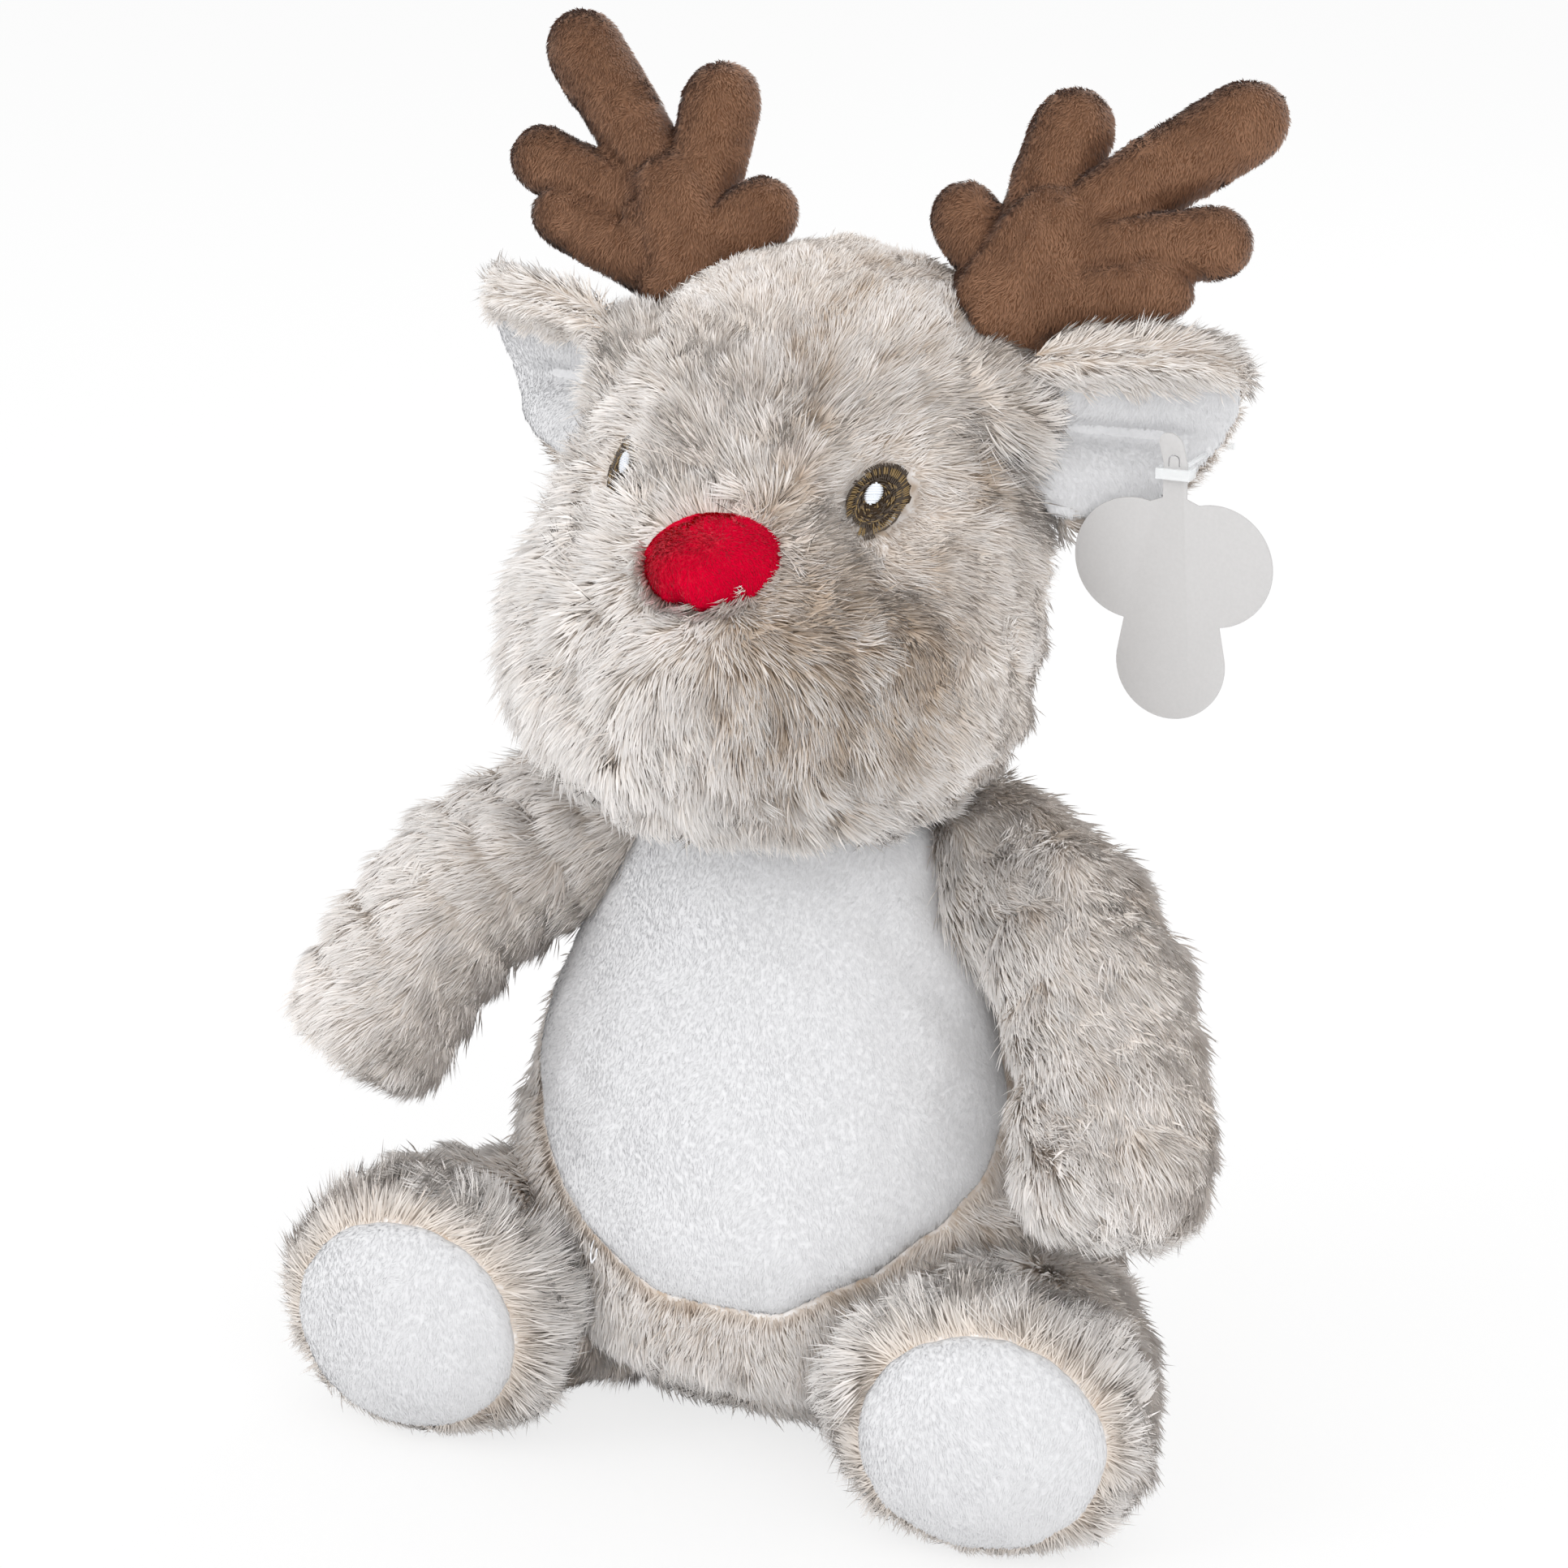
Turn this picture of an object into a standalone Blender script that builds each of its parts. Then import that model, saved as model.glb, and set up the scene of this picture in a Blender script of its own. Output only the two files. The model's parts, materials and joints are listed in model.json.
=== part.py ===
"""Seated plush deer: sewn skins over stuffing, flexible limbs, ears and antlers, and a hanging card tag.

The toy sits on the floor at z = 0 and faces -Y. Its left side is at +X.
"""

import math

import bmesh
import bpy
from mathutils import Matrix, Vector

MM = 0.001
DEGREE = math.pi / 180

# Fabric and fit
SKIN_WALL = 2.5 * MM
VELOUR_WALL = 1.5 * MM
PIECE_GAP = 0.3 * MM
LINING_GAP = 0.5 * MM
EAR_ROOM = 2 * MM
NECK_EASE = 0.7 * MM
STUFFING_GAP = 1.2 * MM
CUT_OVERRUN = 6 * MM
SEAT_CUT = 0.5 * MM
MERGE_DISTANCE = 0.01 * MM
LEAST_RADIUS = 1 * MM
CREASE_ANGLE = 50 * DEGREE

# Torso: a pear that ends in a ball, on which the head sits
TORSO_HEIGHT = 153 * MM
TORSO_WIDTH = 150 * MM
TORSO_DEPTH = 122 * MM
NECK_RADIUS = 37 * MM
NECK_BACK = 2 * MM
NECK_OPENING = 15 * MM
TORSO_SIDES = 24
TORSO_RINGS = 10
TORSO_LINING_RINGS = 9

# Head: wide jowls low down, a sloping brow and a rounded crown
HEAD_HEIGHT = 125 * MM
HEAD_WIDTH = 124 * MM
HEAD_DEPTH = 108 * MM
CHIN_RISE = 7 * MM
CHIN_HEIGHT = TORSO_HEIGHT + CHIN_RISE
HEAD_SIDES = 24
HEAD_RINGS = 15
HEAD_LINING_RINGS = 8

# Face
NOSE_WIDTH = 31 * MM
NOSE_HEIGHT = 24 * MM
NOSE_DEPTH = 22 * MM
NOSE_UP = CHIN_HEIGHT + 62 * MM
EYE_WIDTH = 13 * MM
EYE_HEIGHT = 17 * MM
EYE_RELIEF = 1.8 * MM
EYE_ROOT = 3 * MM
EYE_SPREAD = 31 * MM
EYE_UP = CHIN_HEIGHT + 77 * MM
NOSE_SIDES = 16
NOSE_RINGS = 10
EYE_SIDES = 14

# Belly panel
PANEL_BOTTOM = 44 * MM
PANEL_TOP = 152 * MM
PANEL_COLUMNS = 10
PANEL_ROWS = 9

# Arms
SHOULDER_UP = 141 * MM
SHOULDER_INSET = 8 * MM
ARM_REACH = 58 * MM
ARM_FORWARD = 46 * MM
ARM_DROP = {"left": 40 * MM, "right": 33 * MM}
ARM_RADIUS = 19.5 * MM
HAND_RADIUS = 20 * MM
ARM_SIDES = 14

# Legs and feet
HIP_UP = 37 * MM
HIP_SPREAD = 46 * MM
FOOT_SPREAD = 75 * MM
FOOT_FORWARD = 82 * MM
FOOT_LENGTH = 34 * MM
TOE_OUT = {"left": 12 * DEGREE, "right": 0 * DEGREE}
LEG_RADIUS = 31 * MM
KNEE_OUT = 4 * MM
LEG_SIDES = 18
FOOT_RADIUS = 34.5 * MM
SOLE_ROUNDING = 17 * MM
PAD_RADIUS = 27 * MM

# Ears
EAR_LENGTH = 61 * MM
EAR_WIDTH = 49 * MM
EAR_UP = CHIN_HEIGHT + 85 * MM
EAR_ROOT_SPREAD = 44 * MM
EAR_ROOT_BACK = -4 * MM
EAR_BACK_WALL = 4 * MM
EAR_LINING_WALL = 2.5 * MM
EAR_CELLS = 8
EAR_SWEEP = 24 * DEGREE
EAR_CUP = 118 * DEGREE
EAR_ROLL = 24 * DEGREE

# Antlers
ANTLER_UP = CHIN_HEIGHT + 107 * MM
ANTLER_SPREAD = 43 * MM
ANTLER_BACK = 6 * MM
ANTLER_HEIGHT = 57 * MM
ANTLER_REACH = 46 * MM
ANTLER_LEAN = 31 * DEGREE
ANTLER_SET = {"left": -1 * DEGREE, "right": 8 * DEGREE}
ANTLER_ROOT = 19 * MM
ANTLER_SIDES = 10
ANTLER_LINING_SIDES = 8
TINE_RADIUS = 11 * MM
TRUNK_RADIUS = 15.5 * MM

# Swing tag and its clear fastener
TAG_WIDTH = 47 * MM
TAG_HEIGHT = 51 * MM
TAG_CARD = 0.8 * MM
TAG_NECK_WIDTH = 5.6 * MM
TAG_NECK_HEIGHT = 6 * MM
TAG_TONGUE = 9 * MM
BAND_HEIGHT = 2.4 * MM
BAND_DEPTH = 4.4 * MM
BAND_WALL = 0.9 * MM
BAND_STAND_OFF = 20 * MM
BAND_BELOW = 1 * MM
PIN_RADIUS = 0.6 * MM
PIN_REACH = 4 * MM
BAR_RADIUS = 0.8 * MM
BAR_LENGTH = 7 * MM
PIN_SIDES = 10

# Bag of pellets in the seat, under the torso's stuffing
POUCH_TOP = 26 * MM

# Joint ranges, in degrees about each axis
NOD_RANGE = (-10, 8)
ARM_RANGE = (-35, 8)
LEG_RANGE = (-4, 18)
EAR_RANGE = (-5, 14)
ANTLER_RANGE = (-9, 9)

# Height, half width, half depth and centre of each level, as shares of the torso's sizes
TORSO_SHAPE_SHARES = (
    (0.00, 0.31, 0.17, 0.12),
    (0.05, 0.40, 0.30, 0.08),
    (0.17, 0.48, 0.455, 0.02),
    (0.34, 0.505, 0.50, -0.01),
    (0.54, 0.48, 0.465, -0.01),
    (0.71, 0.42, 0.40, 0.00),
    (0.85, 0.36, 0.345, 0.01),
)

# Height, half width, half depth and centre of each level, as shares of the head's sizes
HEAD_SHAPE_SHARES = (
    (0.00, 0.12, 0.14, -0.25),
    (0.04, 0.30, 0.32, -0.25),
    (0.12, 0.43, 0.45, -0.24),
    (0.22, 0.49, 0.50, -0.24),
    (0.33, 0.50, 0.51, -0.225),
    (0.43, 0.485, 0.485, -0.18),
    (0.51, 0.46, 0.435, -0.13),
    (0.58, 0.435, 0.39, -0.06),
    (0.67, 0.415, 0.375, 0.00),
    (0.77, 0.39, 0.36, 0.03),
    (0.87, 0.325, 0.31, 0.045),
    (0.95, 0.20, 0.20, 0.05),
    (1.00, 0.05, 0.05, 0.05),
)

# Height and half angle of the belly panel's edge, as shares of the panel's height and of a right angle
PANEL_EDGE_SHARES = (
    (0.00, 0.14),
    (0.07, 0.27),
    (0.18, 0.40),
    (0.32, 0.54),
    (0.46, 0.64),
    (0.62, 0.65),
    (0.78, 0.63),
    (1.00, 0.74),
)

# Shapes of the rings and round ends
RING_EASE_SHARE = 0.10
TIP_ROUNDNESS_SHARE = 2.4
SPINE_SAMPLES = 24
FOOT_FLATTEN_SHARE = 0.92
ANTLER_FLATTEN_SHARE = 0.85
CAPSULE_START_ANGLES = (-75 * DEGREE, -35 * DEGREE, 0)
CAPSULE_END_ANGLES = (0, 40 * DEGREE, 75 * DEGREE)

# The arm's way from the shoulder to the hand, as shares of its reach, forward run and drop
ARM_ROOT_SHARES = (0.95, 0.30, 0.05)
ARM_PATH_SHARES = ((0.34, 0.14, 0.02), (0.74, 0.50, 0.38), (0.97, 0.96, 1.08), (1.00, 1.25, 1.62))

# Places of the rings along the arms and legs, from the tip to the root
ARM_OUTER_SHARES = (0.999, 0.985, 0.95, 0.89, 0.80, 0.66, 0.50, 0.34, 0.18, 0.0)
ARM_INNER_SHARES = (0.995, 0.95, 0.89, 0.80, 0.66, 0.50, 0.34, 0.18, 0.0)
LEG_OUTER_SHARES = (0.78, 0.64, 0.48, 0.30, 0.0)
LEG_OUTER_RIM_SHARES = (0.0, 0.03, 0.09)
LEG_INNER_SHARES = (0.70, 0.48, 0.30, 0.0)
LEG_INNER_RIM_SHARES = (0.0, 0.07)
LEG_FILLING_TIP_SHARES = (0.999, 0.98)
PAD_TIP_SHARE = 0.9999

# The ear's width along its length, and how its cup sits on its root
EAR_WIDEST_SHARE = 0.45
EAR_ROOT_WIDTH_SHARE = 0.60
EAR_TIP_WIDTH_SHARE = 0.16
EAR_START_SHARE = 0.12
EAR_SET_IN_SHARE = 0.08
EAR_CUP_BACK_SHARE = 0.8
EAR_TIP_CROWDING_SHARE = 1.3

# The clear band's place on the left ear, along it and across it
BAND_PLACE_SHARE = 0.88
BAND_DROP_SHARE = -0.76

# The eye's rings of stitches, from its middle to its rim
EYE_RING_SHARES = (0.02, 0.55, 0.88, 1.0)
EYE_RIM_DROP_SHARE = 0.7

# The tag's lobes: radius and the drop of their centres, as shares of its width and of the radius
TAG_LOBE_SHARE = 0.30
TAG_LOWER_LOBE_SHARE = 0.92
TAG_LOBE_DROP_SHARE = 1.05
TAG_NECK_ROOT_SHARE = 0.05
TAG_LOBE_STEPS = 10
TAG_TONGUE_STEPS = 6
TAG_LEFT_ARC = (75 * DEGREE, 262 * DEGREE)
TAG_LOWER_ARC = (168 * DEGREE, 372 * DEGREE)
TAG_RIGHT_ARC = (-82 * DEGREE, 105 * DEGREE)

# The antler's fork, outward and upward
ANTLER_FORK_SHARES = (0.13, 0.40)

# Each tine: its foot and its tip on the antler, outward and upward, then its girth
ANTLER_TINE_SHARES = (
    ((-0.02, 0.10), (0.10, 0.88), 1.00),
    ((0.14, 0.42), (0.98, 0.98), 0.98),
    ((0.12, 0.34), (0.96, 0.47), 0.88),
    ((0.02, 0.12), (0.74, 0.26), 0.82),
    ((0.02, 0.18), (-0.34, 0.46), 0.92),
)
LOW_TINE = 3


def material(name, colour, roughness):
    mat = bpy.data.materials.new(name)
    mat.use_nodes = True
    shader = mat.node_tree.nodes["Principled BSDF"]
    shader.inputs["Base Color"].default_value = (*colour, 1)
    shader.inputs["Roughness"].default_value = roughness
    shader.inputs["Metallic"].default_value = 0
    return mat


def finish(mesh_data, name, mat):
    """Turns a bmesh into a named object with outward faces and one material."""
    bmesh.ops.remove_doubles(mesh_data, verts=mesh_data.verts, dist=MERGE_DISTANCE)
    bmesh.ops.recalc_face_normals(mesh_data, faces=mesh_data.faces)
    mesh = bpy.data.meshes.new(name)
    mesh_data.to_mesh(mesh)
    mesh_data.free()
    mesh.shade_smooth()
    mesh.set_sharp_from_angle(angle=CREASE_ANGLE)
    obj = bpy.data.objects.new(name, mesh)
    bpy.context.scene.collection.objects.link(obj)
    if mat:
        mesh.materials.append(mat)
    return obj


def read_table(rows, share):
    """Reads the columns after the first from a table, smoothly between its rows."""
    keys = [row[0] for row in rows]
    share = min(max(share, keys[0]), keys[-1])
    last = len(rows) - 1
    i = min(max(k for k in range(last + 1) if keys[k] <= share), last - 1)
    span = keys[i + 1] - keys[i]
    t = (share - keys[i]) / span
    result = []
    for column in range(1, len(rows[0])):
        value = [row[column] for row in rows]
        slope = []
        for k in (i, i + 1):
            low = max(k - 1, 0)
            high = min(k + 1, last)
            slope.append((value[high] - value[low]) / (keys[high] - keys[low]) * span)
        result.append(
            (2 * t**3 - 3 * t**2 + 1) * value[i]
            + (t**3 - 2 * t**2 + t) * slope[0]
            + (3 * t**2 - 2 * t**3) * value[i + 1]
            + (t**3 - t**2) * slope[1]
        )
    return result


def torso_level(z):
    """Half width, half depth and centre of the torso at a height."""
    if z >= TORSO_HEIGHT:
        radius = math.sqrt(max(NECK_RADIUS**2 - (z - TORSO_HEIGHT) ** 2, 0))
        return radius, radius, NECK_BACK
    neck = (1.0, NECK_RADIUS / TORSO_WIDTH, NECK_RADIUS / TORSO_DEPTH, NECK_BACK / TORSO_DEPTH)
    half_width, half_depth, centre = read_table((*TORSO_SHAPE_SHARES, neck), z / TORSO_HEIGHT)
    return half_width * TORSO_WIDTH, half_depth * TORSO_DEPTH, centre * TORSO_DEPTH


def head_level(z):
    """Half width, half depth and centre of the head at a height."""
    half_width, half_depth, centre = read_table(HEAD_SHAPE_SHARES, (z - CHIN_HEIGHT) / HEAD_HEIGHT)
    return half_width * HEAD_WIDTH, half_depth * HEAD_DEPTH, centre * HEAD_DEPTH


def level_ring(level, z, inset, sides):
    half_width, half_depth, centre = level(z)
    half_width = max(half_width - inset, LEAST_RADIUS)
    half_depth = max(half_depth - inset, LEAST_RADIUS)
    ring = []
    for k in range(sides):
        angle = 2 * math.pi * k / sides
        ring.append(Vector((half_width * math.sin(angle), centre - half_depth * math.cos(angle), z)))
    return ring


def level_rings(level, low, high, inset, sides, count):
    """Rings from low to high, a little closer together towards both ends."""
    rings = []
    for k in range(count):
        share = k / (count - 1)
        eased = share - RING_EASE_SHARE * math.sin(2 * math.pi * share)
        rings.append(level_ring(level, low + (high - low) * eased, inset, sides))
    return rings


def middle(ring):
    return sum(ring, Vector()) / len(ring)


def shrunk(rings, gap):
    """The rings of a filling that stays a gap inside its lining."""
    result = []
    for ring in rings:
        centre = middle(ring)
        result.append([point + (centre - point).normalized() * gap for point in ring])
    for end, inner in ((0, 1), (-1, -2)):
        step = (middle(rings[inner]) - middle(rings[end])).normalized() * gap
        result[end] = [point + step for point in result[end]]
    return result


def skin_rings(mesh_data, rings, closed_start=False, closed_end=False, joined=False):
    """Bridges rings into a surface; a closed end gets a fan, and joined bridges the last to the first."""
    rows = [[mesh_data.verts.new(point) for point in ring] for ring in rings]
    pairs = list(zip(rows, rows[1:]))
    if joined:
        pairs.append((rows[-1], rows[0]))
    for low, high in pairs:
        for k in range(len(low)):
            n = (k + 1) % len(low)
            mesh_data.faces.new((low[k], low[n], high[n], high[k]))
    for row, ring, wanted in ((rows[0], rings[0], closed_start), (rows[-1], rings[-1], closed_end)):
        if wanted:
            tip = mesh_data.verts.new(middle(ring))
            for k in range(len(row)):
                mesh_data.faces.new((row[k], row[(k + 1) % len(row)], tip))


def solid_of_rings(name, rings, mat=None):
    mesh_data = bmesh.new()
    skin_rings(mesh_data, rings, closed_start=True, closed_end=True)
    return finish(mesh_data, name, mat)


def cup_of_rings(name, outer, inner, mat=None):
    """A wall between two runs of rings, closed at their start and open at their end."""
    mesh_data = bmesh.new()
    skin_rings(mesh_data, outer + inner[::-1], closed_start=True, closed_end=True)
    return finish(mesh_data, name, mat)


def sleeve_of_rings(name, outer, inner, mat=None):
    """A wall between two runs of rings, open at both ends."""
    mesh_data = bmesh.new()
    skin_rings(mesh_data, outer + inner[::-1], joined=True)
    return finish(mesh_data, name, mat)


def slab(name, front, back, mat=None):
    """A thick sheet between two grids of points."""
    mesh_data = bmesh.new()
    sheets = [[[mesh_data.verts.new(p) for p in row] for row in grid] for grid in (front, back)]
    rows = len(front)
    columns = len(front[0])
    for sheet in sheets:
        for i in range(rows - 1):
            for j in range(columns - 1):
                mesh_data.faces.new((sheet[i][j], sheet[i][j + 1], sheet[i + 1][j + 1]))
                mesh_data.faces.new((sheet[i][j], sheet[i + 1][j + 1], sheet[i + 1][j]))
    rim = [(0, j) for j in range(columns)]
    rim += [(i, columns - 1) for i in range(1, rows)]
    rim += [(rows - 1, j) for j in range(columns - 2, -1, -1)]
    rim += [(i, 0) for i in range(rows - 2, 0, -1)]
    top, bottom = sheets
    for (i, j), (m, n) in zip(rim, rim[1:] + rim[:1]):
        mesh_data.faces.new((top[i][j], top[m][n], bottom[m][n]))
        mesh_data.faces.new((top[i][j], bottom[m][n], bottom[i][j]))
    return finish(mesh_data, name, mat)


def boolean(obj, tool, operation):
    modifier = obj.modifiers.new(operation.title(), "BOOLEAN")
    modifier.operation = operation
    modifier.solver = "EXACT"
    modifier.object = tool
    with bpy.context.temp_override(object=obj, active_object=obj):
        bpy.ops.object.modifier_apply(modifier=modifier.name)
    bpy.data.objects.remove(tool)


def cut(obj, tools):
    for tool in tools:
        boolean(obj, tool, "DIFFERENCE")
    return obj


def swept_cutter(rings, pivot, axis, limits):
    """The hull of a carrier as a moving piece meets it at rest and at each limit."""
    pivot = Vector(pivot)
    mesh_data = bmesh.new()
    for angle in (0, *limits):
        turn = Matrix.Rotation(-angle * DEGREE, 4, Vector(axis))
        matrix = Matrix.Translation(pivot) @ turn @ Matrix.Translation(-pivot)
        for ring in rings:
            for point in ring:
                mesh_data.verts.new(matrix @ point)
    hull = bmesh.ops.convex_hull(mesh_data, input=mesh_data.verts)
    loose = [item for item in hull["geom_interior"] if isinstance(item, bmesh.types.BMVert)]
    bmesh.ops.delete(mesh_data, geom=loose, context="VERTS")
    return finish(mesh_data, "swept_cutter", None)


def torso_top():
    return TORSO_HEIGHT + math.sqrt(NECK_RADIUS**2 - NECK_OPENING**2)


def torso_outside(inset):
    return level_rings(torso_level, 0, torso_top(), inset, TORSO_SIDES, TORSO_RINGS)


def torso_sweep(pivot, axis, limits):
    return swept_cutter(torso_outside(-PIECE_GAP), pivot, axis, limits)


def head_outside(inset):
    crown = CHIN_HEIGHT + HEAD_HEIGHT
    return level_rings(head_level, crown, CHIN_HEIGHT, inset, HEAD_SIDES, HEAD_RINGS)


def head_sweep(pivot, axis, limits):
    return swept_cutter(head_outside(-PIECE_GAP), pivot, axis, limits)


def split_head_sweeps(pivot, axis, limits):
    """The sweep in two parts that meet at the hinge's height, so that a piece can sit close there."""
    rings = head_outside(-PIECE_GAP)
    split = level_ring(head_level, pivot.z, -PIECE_GAP, HEAD_SIDES)
    above = [ring for ring in rings if ring[0].z > pivot.z]
    below = [ring for ring in rings if ring[0].z < pivot.z]
    return [swept_cutter(part + [split], pivot, axis, limits) for part in (above, below)]


def head_cutter():
    return solid_of_rings("head_cutter", head_outside(-PIECE_GAP))


def neck_socket():
    radius = NECK_RADIUS + NECK_EASE
    return ball("neck_socket", neck_pivot(), (radius, radius, radius), TORSO_SIDES, TORSO_SIDES // 2)


def set_pivot(obj, pivot):
    """Moves an object's origin to its joint's axis, with the mesh left where it is."""
    obj.data.transform(Matrix.Translation(-Vector(pivot)))
    obj.location = pivot
    return obj


def neck_pivot():
    return Vector((0, NECK_BACK, TORSO_HEIGHT))


def panel_grid(inset, margin):
    """Points of the belly panel on the torso's front, row by row from the bottom."""
    grid = []
    low = PANEL_BOTTOM - margin
    high = PANEL_TOP + margin
    for i in range(PANEL_ROWS):
        share = i / (PANEL_ROWS - 1)
        z = low + (high - low) * share
        half_width, half_depth, centre = torso_level(z)
        edge = read_table(PANEL_EDGE_SHARES, share)[0] * math.pi / 2 + margin / half_width
        row = []
        for j in range(PANEL_COLUMNS + 1):
            angle = edge * (2 * j / PANEL_COLUMNS - 1)
            x = (half_width - inset) * math.sin(angle)
            row.append(Vector((x, centre - (half_depth - inset) * math.cos(angle), z)))
        grid.append(row)
    return grid


def make_torso(fur, velour, wadding, pouch_cloth):
    outer = torso_outside(0)
    inner = level_rings(torso_level, SKIN_WALL, torso_top(), SKIN_WALL, TORSO_SIDES, TORSO_LINING_RINGS)
    skin = cup_of_rings("torso_skin", outer, inner, fur)
    wide = (panel_grid(-CUT_OVERRUN, PIECE_GAP), panel_grid(CUT_OVERRUN, PIECE_GAP))
    cut(skin, [slab("panel_opening", *wide)])
    panel = cup_of_rings("belly_panel", outer, inner, velour)
    boolean(panel, slab("panel_shape", panel_grid(-CUT_OVERRUN, 0), panel_grid(CUT_OVERRUN, 0)), "INTERSECT")

    filling = shrunk(inner, STUFFING_GAP)
    block = 2 * TORSO_HEIGHT
    pouch = solid_of_rings("pellet_pouch", filling, pouch_cloth)
    cut(pouch, [box("above_pouch", (0, 0, POUCH_TOP + block / 2), (block, block, block))])
    stuffing = solid_of_rings("torso_stuffing", filling, wadding)
    cut(stuffing, [box("below_stuffing", (0, 0, POUCH_TOP + PIECE_GAP - block / 2), (block, block, block))])


def make_head(fur, wadding, velour, thread):
    pivot = neck_pivot()
    crown = CHIN_HEIGHT + HEAD_HEIGHT
    top = crown - SKIN_WALL
    low = CHIN_HEIGHT + SKIN_WALL
    inner = level_rings(head_level, top, low, SKIN_WALL, HEAD_SIDES, HEAD_LINING_RINGS)
    skin = cup_of_rings("head_skin", head_outside(0), inner, fur)
    cut(skin, [torso_sweep(pivot, (1, 0, 0), NOD_RANGE), neck_socket()])
    stuffing = solid_of_rings("head_stuffing", shrunk(inner, STUFFING_GAP), wadding)
    cut(stuffing, [torso_sweep(pivot, (1, 0, 0), NOD_RANGE), neck_socket()])
    pieces = [skin, stuffing, make_nose(velour)]
    pieces += [make_eye(side, name, thread) for side, name in ((1, "eye_left"), (-1, "eye_right"))]
    for piece in pieces:
        set_pivot(piece, pivot)


def ball(name, centre, half_sizes, sides, rings, mat=None):
    mesh_data = bmesh.new()
    bmesh.ops.create_uvsphere(mesh_data, u_segments=sides, v_segments=rings, radius=1)
    bmesh.ops.scale(mesh_data, vec=half_sizes, verts=mesh_data.verts)
    bmesh.ops.translate(mesh_data, vec=centre, verts=mesh_data.verts)
    return finish(mesh_data, name, mat)


def make_nose(velour):
    half_width, half_depth, centre = head_level(NOSE_UP)
    place = Vector((0, centre - half_depth, NOSE_UP))
    half_sizes = (NOSE_WIDTH / 2, NOSE_DEPTH / 2, NOSE_HEIGHT / 2)
    nose = ball("nose", place, half_sizes, NOSE_SIDES, NOSE_RINGS, velour)
    return cut(nose, [head_cutter()])


def face_point(x, z, lift):
    """A point on the front of the head, or proud of it."""
    half_width, half_depth, centre = head_level(z)
    reach = math.sqrt(max(1 - (x / half_width) ** 2, 0))
    return Vector((x, centre - half_depth * reach - lift, z))


def make_eye(side, name, thread):
    """A domed patch of stitching that follows the face."""
    fronts = []
    backs = []
    for share in EYE_RING_SHARES:
        relief = EYE_RELIEF * (1 - EYE_RIM_DROP_SHARE * share**3)
        front = []
        back = []
        for k in range(EYE_SIDES):
            angle = 2 * math.pi * k / EYE_SIDES
            x = side * EYE_SPREAD + share * EYE_WIDTH / 2 * math.cos(angle)
            z = EYE_UP + share * EYE_HEIGHT / 2 * math.sin(angle)
            front.append(face_point(x, z, PIECE_GAP + relief))
            back.append(face_point(x, z, -EYE_ROOT))
        fronts.append(front)
        backs.append(back)
    return cut(cup_of_rings(name, fronts, backs, thread), [head_cutter()])


def spine_point(points, share):
    """A smooth curve through equally spaced points."""
    rows = [(k / (len(points) - 1), *p) for k, p in enumerate(points)]
    return Vector(read_table(rows, share))


def limb_length(points):
    samples = [spine_point(points, k / SPINE_SAMPLES) for k in range(SPINE_SAMPLES + 1)]
    return sum((b - a).length for a, b in zip(samples, samples[1:]))


def limb_rings(points, radii, rounding, inset, sides, stops, flatten=1.0):
    """Rings along a limb whose tip is rounded over a length; inset gives the lining's rings."""
    length = limb_length(points)
    dome_start = 1 - rounding / length
    tip = 1 - inset / length
    girths = [(k / (len(radii) - 1), radius) for k, radius in enumerate(radii)]
    step = 1 / (2 * SPINE_SAMPLES)
    rings = []
    for stop in stops:
        share = stop * tip
        centre = spine_point(points, share)
        ahead = spine_point(points, min(share + step, 1)) - spine_point(points, max(share - step, 0))
        ahead.normalize()
        side_way = ahead.cross(Vector((0, 0, 1))).normalized()
        up_way = side_way.cross(ahead).normalized() * flatten
        radius = read_table(girths, share)[0] - inset
        over = max(share - dome_start, 0) / (tip - dome_start)
        radius *= math.sqrt(max(1 - over**TIP_ROUNDNESS_SHARE, 0))
        rings.append(round_ring(centre, side_way * radius, up_way * radius, sides))
    return rings


def round_ring(centre, side_way, up_way, sides):
    ring = []
    for k in range(sides):
        angle = 2 * math.pi * k / sides
        ring.append(centre + side_way * math.cos(angle) + up_way * math.sin(angle))
    return ring


def shoulder(side):
    half_width = torso_level(SHOULDER_UP)[0]
    return Vector((side * (half_width - SHOULDER_INSET), 0, SHOULDER_UP))


def arm_spine(side, word):
    start = shoulder(side)
    inward, back, up = (share * ARM_RADIUS for share in ARM_ROOT_SHARES)
    root = start + Vector((-side * inward, back, up))
    reach = Vector((side * ARM_REACH, -ARM_FORWARD, -ARM_DROP[word]))
    return [root] + [start + reach * Vector(shares) for shares in ARM_PATH_SHARES]


def make_arm(side, word, fur, wadding):
    girths = (ARM_RADIUS, ARM_RADIUS, ARM_RADIUS, HAND_RADIUS, HAND_RADIUS)
    shape = (arm_spine(side, word), girths, HAND_RADIUS)
    outer = limb_rings(*shape, 0, ARM_SIDES, ARM_OUTER_SHARES)
    inner = limb_rings(*shape, SKIN_WALL, ARM_SIDES, ARM_INNER_SHARES)
    filling = shrunk(inner, STUFFING_GAP)
    skin = cup_of_rings("arm_skin_" + word, outer, inner, fur)
    stuffing = solid_of_rings("arm_stuffing_" + word, filling, wadding)
    pivot = shoulder(side)
    for piece in (skin, stuffing):
        cut(piece, [torso_sweep(pivot, (1, 0, 0), ARM_RANGE)])
        set_pivot(piece, pivot)


def hip(side):
    return Vector((side * HIP_SPREAD, 0, HIP_UP))


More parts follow.
